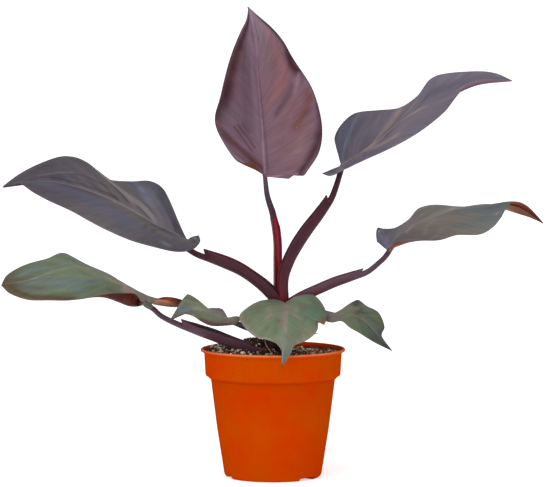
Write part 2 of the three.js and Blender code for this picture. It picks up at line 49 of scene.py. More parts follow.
# The blades. Each has three rails from the base to the tip: the midrib, and the left and right edge as seen
# on the upper face with the tip ahead. crown_left and crown_right say how far each half swells.
LEAVES = {
  "leaf_1": {
    "midrib": [[-6.5, 2, 249], [-9, 3, 287], [-12, 3, 324], [-14, 5, 357], [-20.4, 12, 389]],
    "left": [
      [-16, -5, 259.8], [-29.4, -10, 262.8], [-40.5, -13, 276.8], [-47.5, -12, 296.5], [-43, -9, 317],
      [-35.3, -4, 347], [-27, 3, 368], [-23, 7, 376], [-21.2, 9.5, 382], [-20.4, 12, 389],
    ],
    "right": [
      [13, -4, 247.5], [19, -5, 251.2], [24.5, -6, 250.2], [28, -6, 253.5], [38.5, -6, 271],
      [40.3, -4, 293], [32.7, -2, 321.3], [16.2, 1, 347.4], [8.4, 3, 361.2], [-1.8, 6, 372.6],
      [-20.4, 12, 389],
    ],
    "crown_left": [0, -2, 2, 1, 0],
    "crown_right": [0, 3, 3, 2, 0],
    "rib": 2.4,
  },
  "leaf_2": {
    "midrib": [
      [57, 25, 257], [70, 30, 265], [88, 37, 277], [106, 44, 292], [127, 50, 304], [148, 54, 314],
      [172, 57, 323.8], [201, 60, 326.8],
    ],
    "left": [
      [52.6, 38, 273], [51.6, 44, 280.2], [57.6, 52, 290.5], [69.2, 60, 299.3], [89, 72, 301.4],
      [107, 80, 303], [121, 82, 311.9], [133.2, 80, 327.2], [149, 78, 332.5], [173, 72, 334],
      [188, 66, 332.5], [201, 60, 326.8],
    ],
    "right": [
      [40.5, 8, 251.3], [48, 2, 249.8], [59, -6, 255.6], [76, -10, 264], [92, -8, 271],
      [109, -2, 278.8], [125.8, 6, 289.4], [141.9, 16, 301.5], [152.6, 28, 314.5], [162, 38, 323.2],
      [177, 50, 328.3], [201, 60, 326.8],
    ],
    "crown_left": [0, -6, -3, -2, 0],
    "crown_right": [0, -2, 3, 2, 0],
    "rib": 2.6,
  },
  "leaf_3": {
    "midrib": [
      [-70, 12, 194], [-80, 13, 200], [-98, 16, 209], [-123, 21, 223], [-144, 25, 232], [-165, 29, 239],
      [-190, 32, 243], [-226, 36, 238.6],
    ],
    "left": [
      [-61, -6, 201], [-60, -13, 196], [-66, -20, 190.4], [-78, -25, 189], [-94, -27, 191.9],
      [-116, -24, 198.1], [-138, -18, 206.8], [-163, -8, 219.5], [-184, 4, 228.4], [-199, 15, 235.2],
      [-212, 26, 242.1], [-226, 36, 238.6],
    ],
    "right": [
      [-76.7, 24, 201], [-79.7, 31, 207], [-85.2, 37, 221.5], [-91.6, 40, 236.2], [-103, 43, 243.2],
      [-120, 47, 242.4], [-137, 50, 244], [-149, 54, 252], [-160, 57, 260.4], [-177, 58, 263.2],
      [-196, 55, 256.9], [-212, 47, 249.3], [-226, 36, 238.6],
    ],
    "crown_left": [3, 4, 3, 2, 0],
    "crown_right": [0, 3, 3, 2, 0],
    "rib": 2.6,
  },
  "leaf_4": {
    "midrib": [
      [94, -8, 189], [103, -9, 201], [121, -11, 211], [142, -13, 220], [158, -15, 224], [178, -17, 227],
      [198, -18, 227], [211, -19, 220.5], [222, -20, 212],
    ],
    "left": [
      [86, 5, 195], [85.6, 11, 200.5], [87, 16, 205.6], [92, 19, 204.9], [102, 23, 205.5],
      [113, 26, 211.8], [121, 28, 221], [133, 29, 224], [149, 27, 223], [168, 20, 223.5],
      [183, 10, 225.3], [193, 2, 221.6], [201, -5, 219], [212, -12, 216.1], [222, -20, 212],
    ],
    "right": [
      [95, -22, 190], [101, -30, 197], [109, -38, 198], [121, -45, 199.6], [136, -50, 200.6],
      [150, -53, 204.6], [168, -52, 205.3], [178.6, -47, 210.3], [185.5, -41, 217.8],
      [190.4, -34, 224.8], [198, -27, 230], [209, -22, 226.1], [222, -20, 212],
    ],
    "crown_left": [0, 0, 1, 1, 0],
    "crown_right": [-3, -1, 2, 1, 0],
    "rib": 2.4,
  },
  "leaf_5": {
    "midrib": [
      [-101, -18, 145], [-109, -19, 152], [-122, -21, 159], [-138, -25, 166], [-158, -30, 169],
      [-182, -36, 169], [-203, -40, 166], [-221.5, -44, 163],
    ],
    "left": [
      [-108, -30, 148], [-113, -41, 155.7], [-125, -51, 157], [-140, -60, 156.4], [-156, -66, 153.4],
      [-176, -70, 153], [-197, -68, 153.3], [-212.5, -58, 157], [-221.5, -44, 163],
    ],
    "right": [
      [-75, 4, 146.6], [-78, 10, 140.5], [-90, 17, 140.3], [-104, 23, 142.4], [-124, 26, 150.7],
      [-144, 24, 163.1], [-161, 18, 176.6], [-174, 8, 185.4], [-188, -4, 181.4], [-206, -20, 176.8],
      [-217.2, -34, 170.7], [-221.5, -44, 163],
    ],
    "crown_left": [-3, -9, -2, 2, 1, 0],
    "crown_right": [5.2, 4, 4.6, 2, 0, 0],
    "rib": 2.4,
  },
  "leaf_6": {
    "midrib": [[-37, -24, 134], [-47, -32, 137], [-56, -41, 141], [-68, -51, 142], [-83.5, -62, 136.5]],
    "left": [
      [-26, -13, 133], [-30, -26, 129.6], [-39, -38, 129.3], [-50, -52, 130.6], [-58, -58, 134.6],
      [-65, -62, 139.6], [-73, -63, 141], [-83.5, -62, 136.5],
    ],
    "right": [
      [-39, -16, 136.6], [-42, -13, 140.8], [-49, -14, 141.7], [-57.5, -20, 141.9], [-64, -28, 147.9],
      [-69, -36, 155], [-74.5, -46, 150.5], [-79.5, -54, 142.5], [-83.5, -62, 136.5],
    ],
    "crown_left": [2, 2, 2, 1, 0],
    "crown_right": [0, 1, 2, 1, 0],
    "rib": 1.6,
    "small": True,
  },
  "leaf_7": {
    "midrib": [[10, -14, 146], [11, -32, 142], [11, -50, 134], [10, -62, 123], [8, -68, 111], [7, -72, 99]],
    "left": [
      [21, -2, 151.4], [29, -4, 153], [36.7, -10, 149.7], [42.6, -20, 142], [43.6, -31, 135],
      [42, -37, 130], [37.4, -37, 132], [36.6, -43, 127.1], [33.3, -48, 122.7], [27, -54, 118.6],
      [17.6, -62, 115.6], [14, -67, 109], [7, -72, 99],
    ],
    "right": [
      [1, -2, 148], [-11, -6, 146.7], [-21, -14, 142], [-27.7, -23, 135.4], [-23.4, -36, 127.9],
      [-14.6, -48, 121.4], [-6, -57, 120], [3, -63, 117], [8, -68, 109], [7, -72, 99],
    ],
    "crown_left": [0, 2, 2, 1, 0],
    "crown_right": [0, 2, 2, 1, 0],
    "rib": 1.8,
    "small": True,
  },
  "leaf_8": {
    "midrib": [
      [43, -12, 136], [55, -19, 136], [67, -27, 136], [76, -34, 131], [84, -41, 123], [97, -50, 110],
    ],
    "left": [
      [42, -6, 139.4], [51, -3, 136.8], [58.5, -4, 136.6], [64.8, -6, 143.5], [70, -8, 147.9],
      [77.2, -14, 143.4], [86.8, -24, 138.7], [91.3, -34, 128.2], [89, -41, 121], [97, -50, 110],
    ],
    "right": [
      [39, -18, 132.5], [48, -28, 131], [56, -38, 133], [63, -48, 128.5], [71, -54, 124.5],
      [79, -56, 119.5], [88, -54, 114.5], [97, -50, 110],
    ],
    "crown_left": [0, 1, 2, 1, 0],
    "crown_right": [0, 1, 2, 1, 0],
    "rib": 1.6,
    "small": True,
  },
}

# The leaf stalks: path, radii, the side the sheath opens to, the height of its wings, half its width and the
# share of the stalk that it covers.
STALKS = {
  "petiole_1": {
    "path": [
      [3.6, 4, 146], [3.7, 5, 160], [3.5, 6, 178], [3.1, 5, 197], [0.2, 3, 217], [-4.6, 2, 233],
      [-6.7, 3.6, 250],
    ],
    "radii": [4.2, 4.1, 3.8, 3.4, 2.9, 2.3, 1.8],
    "upper": [0.3, -1, 0],
    "wings": [3.2, 3.6, 3.4],
    "half": 3.2,
    "sheath": 0.66,
  },
  "petiole_2": {
    "path": [
      [9.6, -2, 146], [9.5, -1, 164], [14, 2, 178], [20.5, 6, 190], [29.5, 12, 203], [39.5, 17, 216],
      [47.9, 21, 228.5], [52, 24, 238], [57, 26, 254],
    ],
    "radii": [3.6, 3.5, 3.5, 3.5, 3.3, 3.1, 2.8, 2.5, 2.3],
    "upper": [-0.75, -0.2, 0.6],
    "wings": [4.4, 5.8, 6.6, 5.4],
    "half": 3.4,
    "sheath": 0.742,
  },
  "petiole_3": {
    "path": [
      [6, 0, 143], [-4, 1, 153.5], [-16, 3, 163], [-27, 5, 170], [-40, 7, 175.5], [-52, 9, 180],
      [-62, 11, 183.5], [-70, 12.5, 188], [-77, 13.5, 194.5],
    ],
    "radii": [4.4, 4.2, 3.5, 3.3, 3.1, 2.9, 2.7, 2.5, 2.3],
    "upper": [0.3, -0.2, 1],
    "wings": [5, 6.4, 6.2, 7, 6.4],
    "half": 3.4,
    "sheath": 0.722,
  },
  "petiole_4": {
    "path": [
      [9, -1, 141.5], [21, -2, 148], [35, -4, 154], [51, -6, 161], [65, -7, 166], [78, -8, 171],
      [88, -8, 179], [93, -8, 184], [97, -8, 190],
    ],
    "radii": [3.4, 3.3, 3.2, 3.1, 2.9, 2.6, 2.3, 2.2, 2.2],
    "upper": [-0.4, -0.2, 1],
    "wings": [3, 4.8, 5, 4.4],
    "half": 3.1,
    "sheath": 0.657,
  },
  "petiole_5": {
    "path": [
      [-7, -3, 104], [-21, -5, 107], [-36, -8, 112], [-49, -11, 117.2], [-62, -14, 121.9],
      [-77, -16, 127.8], [-91, -17, 134.7], [-98, -17.5, 140.8], [-103, -18, 144],
    ],
    "radii": [4.6, 4.5, 4, 3.5, 3.2, 2.7, 2.4, 2.2, 2.2],
    "upper": [0.3, -0.3, 1],
    "wings": [4, 5.2, 5.8, 5.2],
    "half": 3.9,
    "sheath": 0.66,
  },
  "petiole_6": {
    "path": [[-4, -2, 116], [-15, -9, 123], [-24, -16, 126.8], [-32, -21, 130.2], [-36.4, -23.5, 131.8]],
    "radii": [2.9, 3, 2.9, 2.4, 1.8],
    "upper": [0.6, 0.3, 1],
    "wings": [2.8, 3.6, 3.2],
    "half": 2.8,
    "sheath": 0.45,
  },
  "petiole_7": {
    "path": [[4, -2, 126], [8, -6, 135], [10, -10, 141], [10, -13.5, 143.2]],
    "radii": [2.6, 2.3, 2, 1.8],
    "upper": [0, 0.8, 0.6],
    "wings": [2.6, 3, 2.6],
    "half": 2.6,
    "sheath": 0.4,
  },
  "petiole_8": {
    "path": [[2, -2, 112], [14, -7, 118], [27, -11, 125], [36, -12.5, 130], [42.4, -11.8, 133.6]],
    "radii": [2.9, 2.5, 2, 1.8, 1.6],
    "upper": [-0.4, 0, 1],
    "wings": [2.8, 3.4, 3],
    "half": 2.6,
    "sheath": 0.5,
  },
}

STEM_PATH = [[-3, 0, 84], [-1, 0, 100], [1.5, 0, 116], [5, 0, 133], [8, 0, 147]]
STEM_RADII = [5.2, 5.8, 5.8, 5.6, 5.2]

# A row of a blade's points leaves the midrib at s to the power of ROW_SWEEP and meets the edge at s. A side
# vein that starts at s meets the edge at s + VEIN_SWEEP. Small blades have fewer rows and columns.
ROW_SWEEP = 1.6
VEIN_SWEEP = 0.11
VEIN_RISE = 0.07
BLADE_ROWS, BLADE_COLUMNS = 170, 34
SMALL_ROWS, SMALL_COLUMNS = 96, 20
TIP_SHARE = 0.998
BLADE_THICKNESS = 0.7

# A stalk has points all round it in rings, and the sheath's end closes and leans ahead in a point.
STALK_SIDES = 56
STALK_STEP = 1.3
CLOSING_LENGTH = 9
POINT_LENGTH = 6
STROKE_WIDTH = 6  # from a stalk's middle to its channel, as strokes measure it
GRAIN_LENGTH = 20  # along a stalk for one unit of the grain map
GRAIN_TURN = 6  # radians round a stem for one unit of it

POT_HEIGHT = 107
LIP_RADIUS = 60
POT_WALL = 1.2
POT_FLOOR = 1.6
FOOT_RADIUS = 36.5
STEP_Z = 85
COLLAR_RADIUS = 56
WAIST_RADIUS = 51.4
NOTCH_ANGLES = [-42.5, 77.5, 197.5]
NOTCH_BLOCK = 21, 18, 3  # depth, width and height of a notch in the foot
CEILING_BLOCK = 22.6, 21.2, 4.6  # and of the plastic round it inside the pot
DRAIN_RADIUS = 3
DRAIN_CIRCLE = FOOT_RADIUS - 4.5
DRAIN_DEPTH = 12
POT_SIDES = 180
SAME_PLACE = 5e-6  # metres

SOIL_LEVEL = 102.6
MOUND_HEIGHT = 10
SOIL_RADIUS = 55.4
SOIL_SIDES, SOIL_RINGS = 260, 110
GRAIN_MARGIN = 1.6
STEM_PLACE = -5, 0
STEM_CLEARANCE = 6.5
CLUMPED_SHARE = 0.5
FIBRE_COUNT = 150


# Curves

def unit(v):
    return v / np.maximum(np.linalg.norm(v, axis=-1, keepdims=True), 1e-9)


def spline(points, t):
    """Smooth curve through points, read at t from 0 to 1 by point number."""
    points = np.asarray(points, float)
    n = len(points) - 1
    ends = np.vstack([2 * points[0] - points[1], points, 2 * points[-1] - points[-2]])
    f = np.clip(np.asarray(t, float), 0, 1) * n
    i = np.minimum(f.astype(int), n - 1)
    w = (f - i)[:, None]
    a, b, c, d = ends[i], ends[i + 1], ends[i + 2], ends[i + 3]
    square = (2 * a - 5 * b + 4 * c - d) * w**2
    cube = (3 * b - a - 3 * c + d) * w**3
    return 0.5 * (2 * b + (c - a) * w + square + cube)


def along(values, t):
    """A value given at even steps, read smoothly at t."""
    return spline(np.asarray(values, float)[:, None], t)[:, 0]


def bell(x, power=2):
    """1 at 0, falling off smoothly to both sides."""
    return np.exp(-(x**power))


class Rail:
    """A smooth curve read by its own length."""

    STEPS = 400
    NEAR = 0.004

    def __init__(self, points):
        self.points = np.asarray(points, float)
        self.t = np.linspace(0, 1, self.STEPS + 1)
        steps = np.linalg.norm(np.diff(spline(self.points, self.t), axis=0), axis=1)
        length = np.concatenate([[0], np.cumsum(steps)])
        self.length = length[-1]
        self.share = length / length[-1]

    def at(self, u):
        return spline(self.points, np.interp(np.atleast_1d(u), self.share, self.t))

    def ahead(self, u):
        u = np.atleast_1d(u)
        return unit(self.at(np.clip(u + self.NEAR, 0, 1)) - self.at(np.clip(u - self.NEAR, 0, 1)))


def lattice(x, y, z, size, seed):
    """Smooth noise from -1 to 1 over points, with cells of the given size."""
    def hashed(i, j, k):
        h = np.sin(i * 127.1 + j * 311.7 + k * 74.7 + seed * 19.19) * 43758.5453
        return 2 * (h - np.floor(h)) - 1
    p = np.stack([x, y, z]) / size
    low = np.floor(p)
    f = p - low
    f = f * f * (3 - 2 * f)
    total = 0
    for corner in range(8):
        a, b, c = corner & 1, corner >> 1 & 1, corner >> 2
        weight = (f[0] if a else 1 - f[0]) * (f[1] if b else 1 - f[1]) * (f[2] if c else 1 - f[2])
        total = total + weight * hashed(low[0] + a, low[1] + b, low[2] + c)
    return total


# Colours and meshes

def linear(rgb):
    c = np.asarray(rgb, float) / 255
    return np.where(c <= 0.04045, c / 12.92, ((c + 0.055) / 1.055) ** 2.4)


# Paints of leaves and stalks, as they look in soft daylight. The pale blue-grey, the steel blue and the white
# paints are painted sheen and painted glints on the leaves.
PAINT = {
    "burgundy": (74, 40, 48), "wine": (92, 54, 58), "garnet": (98, 38, 46), "cherry": (122, 28, 42),
    "dusk": (68, 48, 58), "plum": (84, 66, 80), "mauve": (118, 94, 108), "lilac": (154, 126, 148),
    "blush": (184, 134, 144), "blush_grey": (140, 120, 110), "ink": (58, 52, 60), "smoke": (84, 79, 89),
    "ash": (102, 97, 100), "slate": (88, 92, 116), "painted_sheen": (132, 146, 160), "silver": (150, 140, 142),
    "beige": (162, 152, 140), "painted_glint": (230, 234, 240), "khaki": (108, 108, 96), "sage": (116, 124, 102),
    "pale_sage": (146, 152, 134), "moss": (98, 114, 90), "jade": (90, 124, 96), "teal": (84, 104, 108),
    "olive": (86, 70, 42), "tan": (168, 98, 56), "rust": (156, 68, 36), "sienna": (112, 58, 42),
    "umber": (78, 38, 32), "bronze": (116, 82, 58), "maroon": (74, 42, 52), "crimson": (150, 40, 56),
    "heath": (96, 72, 82), "orchid": (136, 116, 132), "rosewood": (128, 90, 94), "heather": (113, 106, 121),
    "taupe": (154, 142, 136), "steel": (70, 72, 88), "mist": (120, 118, 134), "stone": (124, 120, 110),
    "aqua": (116, 138, 136), "sea": (96, 108, 110), "sandy": (170, 148, 132), "smoke_green": (92, 98, 96),
    "oxblood": (64, 33, 40), "brick": (144, 94, 92), "leafy": (116, 132, 106), "dark_moss": (78, 88, 74),
    "painted_blue_sheen": (108, 124, 136), "oxwood": (86, 48, 54), "cocoa": (108, 68, 66), "violet": (82, 50, 74),
    "thistle": (128, 98, 110), "copper": (134, 80, 50),
}


def skin(paint):
    """The base colour of a waxy skin that is to look like a paint: its shine adds a little light."""
    shine, gain = 0.012, 1.06
    return np.clip((linear(PAINT[paint]) - shine) * gain, 0.001, 1)


def cover(colour, weight, paint):
    """Colours with a paint laid over them, as thickly as weight says."""
    return colour + weight[..., None] * (skin(paint) - colour)


def painted(base, strokes, s, v, length, width):
    """Colours over (s, v): base paints at even steps of s, then soft brush strokes laid over them.

    A stroke is (paint, reach in mm, strength, points in percent); length and width turn s and v into mm."""
    colour = np.stack([along([skin(c)[k] for c in base], s.ravel()) for k in range(3)], -1)
    colour = np.clip(colour, 0, 1).reshape(s.shape + (3,))
    spot = np.stack([s * length, v * width], -1)
    for paint, reach, strength, *points in strokes:
        path = np.array(points, float) / 100 * [length, width]
        away = np.linalg.norm(spot - path[0], axis=-1)
        for a, b in zip(path, path[1:]):
            share = np.clip(((spot - a) @ (b - a)) / max((b - a) @ (b - a), 1e-9), 0, 1)
            away = np.minimum(away, np.linalg.norm(spot - a - share[..., None] * (b - a), axis=-1))
        colour = cover(colour, strength * bell(away / reach), paint)
    return colour


def link(name, data):
    """A new object of the scene that shows data."""
    obj = bpy.data.objects.new(name, data)
    bpy.context.scene.collection.objects.link(obj)
    return obj


def tint(mesh, colours):
    """Gives each point of a mesh its colour, for the materials to read."""
    layer = mesh.color_attributes.new("tint", "FLOAT_COLOR", "POINT")
    rgba = np.ones((len(mesh.vertices), 4), np.float32)
    rgba[:, :3] = colours
    layer.data.foreach_set("color", rgba.ravel())


def add_mesh(name, vertices, faces, materials, colours=None, uv=None, face_material=None, sharp=None):
    mesh = bpy.data.meshes.new(name)
    mesh.from_pydata((np.asarray(vertices) * MM).tolist(), [], faces)
    mesh.update()
    obj = link(name, mesh)
    for material in materials:
        mesh.materials.append(material)
    mesh.shade_smooth()
    if sharp is not None:
        mesh.set_sharp_from_angle(angle=math.radians(sharp))
    if face_material is not None:
        mesh.polygons.foreach_set("material_index", np.asarray(face_material, np.int32))
    if colours is not None:
        tint(mesh, colours)
    if uv is not None:
        layer = mesh.uv_layers.new(name="grain")
        corner = np.zeros(len(mesh.loops), np.int32)
        mesh.loops.foreach_get("vertex_index", corner)
        layer.data.foreach_set("uv", np.asarray(uv, np.float32)[corner].ravel())
    return obj


def attach(obj, slot, *nodes):
    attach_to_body(obj, "root")
    if nodes:
        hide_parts(*nodes)


# Materials

class Graph:
    """A node material under construction."""

    def __init__(self, name):
        self.material = bpy.data.materials.new(name)
        self.material.use_nodes = True
        self.tree = self.material.node_tree
        self.tree.nodes.clear()

    def node(self, kind, sockets=None, **settings):
        made = self.tree.nodes.new("ShaderNode" + kind)
        for key, value in settings.items():
            setattr(made, key, value)
        for key, value in (sockets or {}).items():
            if isinstance(value, bpy.types.NodeSocket):
                self.tree.links.new(value, made.inputs[key])
            else:
                made.inputs[key].default_value = value
        return made

    def place(self):
        return self.node("TexCoord").outputs["Object"]

    def grain(self, across, lengthwise):
        """Coordinates over the grain map, stretched across and lengthwise."""
        uv = self.node("UVMap", uv_map="grain").outputs["UV"]
        return self.node("Mapping", {"Vector": uv, "Scale": (across, lengthwise, 1)}).outputs["Vector"]

    def scaled(self, vector, scale):
        return self.node("Mapping", {"Vector": vector, "Scale": scale}).outputs["Vector"]

    def noise(self, vector, scale, detail, roughness=0.5):
        sockets = {"Vector": vector, "Scale": scale, "Detail": detail, "Roughness": roughness}
        return self.node("TexNoise", sockets).outputs["Fac"]

    def spots(self, vector, scale, size):
        """1 in small round spots of the given size, else 0."""
        cells = self.node("TexVoronoi", {"Vector": vector, "Scale": scale}).outputs["Distance"]
        return self.ramp(cells, [(0, 1), (size, 1), (size * 1.6, 0)])

    def ramp(self, value, stops):
        """A number from a number, through stops of (place, value)."""
        ramp = self.node("ValToRGB", {"Fac": value})
        while len(ramp.color_ramp.elements) < len(stops):
            ramp.color_ramp.elements.new(0.5)
        for element, (place, level) in zip(ramp.color_ramp.elements, stops):
            element.position = place
            element.color = (level, level, level, 1)
        return ramp.outputs["Color"]

    def span(self, value, low, high):
        sockets = {"Value": value, "To Min": low, "To Max": high}
        return self.node("MapRange", sockets).outputs["Result"]

    def sum(self, a, b):
        return self.node("Math", {0: a, 1: b}, operation="ADD").outputs[0]

    def product(self, a, b):
        return self.node("Math", {0: a, 1: b}, operation="MULTIPLY").outputs[0]

    def mix(self, factor, a, b, blend="MIX"):
        """Colour a with b over it. Each is a socket or (red, green, blue) from 0 to 255."""
        a, b = (value if isinstance(value, bpy.types.NodeSocket) else (*linear(value), 1) for value in (a, b))
        colour_sockets = {0: factor, 6: a, 7: b}
        return self.node("Mix", colour_sockets, data_type="RGBA", blend_type=blend).outputs[2]

    def tint(self):
        return self.node("Attribute", attribute_name="tint").outputs["Color"]

    def finish(self, colour, roughness, height=None, depth=0, **fixed):
        """The material, with bumps of the given depth in metres where it has a height."""
        sockets = {"Base Color": colour, "Roughness": roughness}
        sockets.update({key.replace("_", " "): value for key, value in fixed.items()})
        if height is not None:
            bump = self.node("Bump", {"Height": height, "Distance": depth, "Strength": 1.0})
            sockets["Normal"] = bump.outputs["Normal"]
        shader = self.node("BsdfPrincipled", sockets)
        self.node("OutputMaterial", {"Surface": shader.outputs["BSDF"]})
        return self.material


def leaf_material(name, gloss, freckle, coat, shine):
    """Waxy leaf skin with fine veins that run from the midrib to the edge. gloss is its mean roughness."""
    g = Graph(name)
    fine = g.noise(g.grain(7, 95), 1, 3)
    broad = g.noise(g.grain(3, 22), 1, 2)
    mottle = g.noise(g.place(), 55, 4, 0.6)
    tiny = g.noise(g.place(), 900, 2)
    colour = g.mix(g.ramp(fine, [(0.25, 0.1), (0.75, 0.8)]), g.tint(), (150, 138, 138), "SOFT_LIGHT")
    colour = g.mix(g.ramp(broad, [(0.35, 0.0), (0.7, 0.3)]), colour, (96, 88, 84), "SOFT_LIGHT")
    colour = g.mix(g.ramp(mottle, [(0.5, 0.0), (0.75, freckle)]), colour, (128, 92, 84))
    colour = g.mix(g.ramp(mottle, [(0.25, freckle), (0.45, 0.0)]), colour, (88, 104, 108))
    dust = g.spots(g.place(), 260, 0.05)
    keep = g.ramp(g.noise(g.place(), 30, 2), [(0.6, 0.0), (0.68, 0.55)])
    colour = g.mix(g.product(dust, keep), colour, (176, 176, 182))
    roughness = g.sum(g.span(mottle, gloss - 0.1, gloss + 0.1), g.span(fine, -0.05, 0.05))
    height = g.sum(g.span(fine, 0, 0.8), g.span(tiny, 0, 0.25))
    fixed = {"Specular_IOR_Level": shine, "Coat_Weight": coat, "Coat_Roughness": 0.35}
    return g.finish(colour, roughness, height, 0.00012, **fixed)


def stalk_material(name):
    """Smooth waxy stalk skin with faint lines along its length."""
    g = Graph(name)
    lines = g.noise(g.grain(26, 1.5), 1, 3)
    mottle = g.noise(g.place(), 90, 4, 0.6)
    colour = g.mix(g.span(lines, 0, 0.8), g.tint(), (134, 104, 116), "SOFT_LIGHT")
    colour = g.mix(g.ramp(mottle, [(0.5, 0.0), (0.8, 0.3)]), colour, (112, 38, 46))
    specks = g.spots(g.scaled(g.place(), (1, 1, 0.5)), 330, 0.06)
    colour = g.mix(g.product(specks, 0.3), colour, (128, 84, 96))
    roughness = g.span(mottle, 0.3, 0.48)
    return g.finish(colour, roughness, lines, 0.0002, Specular_IOR_Level=0.25)


def pot_material():
    """Moulded orange plastic with faint streaks, scuffs and specks of soil near the lip."""
    g = Graph("orange_plastic")
    place = g.place()
    cloud = g.noise(place, 28, 4, 0.6)
    streak = g.noise(g.scaled(place, (240, 240, 9)), 1, 3)
    colour = g.mix(g.ramp(cloud, [(0.35, 0.0), (0.7, 0.5)]), g.tint(), (222, 84, 8), "SOFT_LIGHT")
    colour = g.mix(g.ramp(streak, [(0.45, 0.0), (0.75, 0.2)]), colour, (172, 52, 0))
    scuff = g.noise(g.scaled(place, (90, 90, 420)), 1, 5, 0.7)
    colour = g.mix(g.ramp(scuff, [(0.68, 0.0), (0.76, 0.2)]), colour, (214, 104, 24))
    dirt = g.spots(place, 190, 0.09)
    height = g.node("SeparateXYZ", {"Vector": place}).outputs["Z"]
    near_lip = g.node("MapRange", {"Value": height, "From Min": 0.07, "From Max": 0.107}).outputs["Result"]
    some = g.ramp(g.noise(place, 60, 1), [(0.56, 0.0), (0.6, 1.0)])
    colour = g.mix(g.product(g.product(dirt, near_lip), some), colour, (92, 44, 22))
    roughness = g.sum(g.span(scuff, 0.42, 0.6), g.span(cloud, -0.05, 0.05))
    bump = g.sum(g.span(cloud, 0, 1), g.span(streak, 0, 0.15))
    return g.finish(colour, roughness, bump, 0.0004, Specular_IOR_Level=0.0)


def crumb_material(name, roughness, scale, light, dark):
    """Rough grains: the tint, broken up between a lighter and a darker colour."""
    g = Graph(name)
    coarse = g.noise(g.place(), scale, 4, 0.7)
    fine = g.noise(g.place(), scale * 5, 3, 0.7)
    colour = g.mix(g.ramp(coarse, [(0.45, 0.0), (0.7, 0.7)]), g.tint(), light)
    colour = g.mix(g.ramp(fine, [(0.3, 0.7), (0.5, 0.0)]), colour, dark)
    rough = g.span(fine, roughness - 0.1, roughness + 0.05)
    return g.finish(colour, rough, g.sum(coarse, fine), 0.0006, Specular_IOR_Level=0.3)


# Leaf blades

def blade_columns(count):
    """Places across one half of a blade, from the midrib to the edge, closer together by the midrib."""
    close = [0, 0.012, 0.025, 0.04, 0.06, 0.085]
    return np.concatenate([close, np.linspace(0.11, 1, count)])


def blade_surface(spec, s, v):
    """Points (rows, columns, 3) of a blade's middle surface and its upper normals."""
    midrib = Rail(spec["midrib"])
    root = midrib.at(s**ROW_SWEEP)
    sides = {}
    for side, sign in (("left", 1), ("right", -1)):
        edge = Rail(spec[side])
        before, after = np.clip(s - 1e-3, 0, 1), np.clip(s + 1e-3, 0, 1)
        step = edge.at(after) - edge.at(before) + midrib.at(after**ROW_SWEEP) - midrib.at(before**ROW_SWEEP)
        across = edge.at(s) - root
        up = unit(np.cross(unit(step), across)) * sign * along(spec["crown_" + side], s)[:, None]
        swell = 4 * v * (1 - v)
        sides[side] = root[:, None] + across[:, None] * v[:, None] + up[:, None] * swell[:, None]
    grid = np.concatenate([sides["left"][:, :0:-1], sides["right"]], axis=1)
    return grid, unit(np.cross(np.gradient(grid, axis=1), np.gradient(grid, axis=0)))


def relief(look, s, v, away):
    """Height over the middle surface: folds, ripples of the edge and ribs of the side veins.

    s and v are grids, v from -1 at the left edge to 1 at the right; away is the distance from the midrib."""
    height = np.zeros_like(s)
    for s0, v0, reach_s, reach_v, slant, rise in look["folds"]:
        off_s = (s - s0 - slant * (v - v0)) / reach_s
        off_v = (v - v0) / reach_v
        height += rise * np.exp(-(off_s**2) - off_v**2)
    for side, waves, rise, shift in look["ripples"]:
        reach = np.clip(v * side, 0, 1) ** 3
        height += rise * reach * np.sin(2 * math.pi * (waves * s + shift)) * np.clip(s / 0.1, 0, 1)
    fade = np.clip((away - 1.5) / 4, 0, 1) * np.clip((1 - np.abs(v)) / 0.15, 0, 1)
    vein = np.sin(2 * math.pi * look["veins"] * (s - VEIN_SWEEP * np.abs(v)))
    height += VEIN_RISE * fade * vein * np.clip((0.97 - s) / 0.1, 0, 1)
    return height


def blade_faces(rows, columns):
    """Faces of the upper skin, the lower skin and the wall round them, and the material of each face."""
    index = np.arange(rows * columns).reshape(rows, columns)
    a, b, c, d = index[:-1, :-1], index[:-1, 1:], index[1:, 1:], index[1:, :-1]
    upper = np.stack([a, b, c, d], -1).reshape(-1, 4)
    lower = np.stack([a, d, c, b], -1).reshape(-1, 4) + index.size
    loop = np.concatenate([index[0, :-1], index[:-1, -1], index[-1, :0:-1], index[:0:-1, 0]])
    after = np.roll(loop, -1)
    walls = np.stack([after, loop, loop + index.size, after + index.size], -1)
    which = np.repeat([0, 1, 1], [len(upper), len(lower), len(walls)])
    return np.concatenate([upper, lower, walls]), which


def blade_colours(look, s, v, away, taper, length):
    """Colours of the upper and the lower skin, each with its midrib, and the rim."""
    breadth = np.abs(away[:, [0, -1]]).max()
    top = painted(look["upper"], look["upper_strokes"], s, v, length, breadth)
    top = cover(top, look["midrib_strength"] * bell(away / (1.1 * taper + 0.3)), look["midrib"])
    top = cover(top, np.clip((np.abs(v) - 0.985) / 0.015, 0, 1) * look["rim_strength"], look["rim"])
    bottom = painted(look["lower"], look["lower_strokes"], s, v, length, breadth)
    bottom = cover(bottom, 0.5 * bell(away / (1.8 * taper + 0.3)), look["keel"])
    return top, bottom


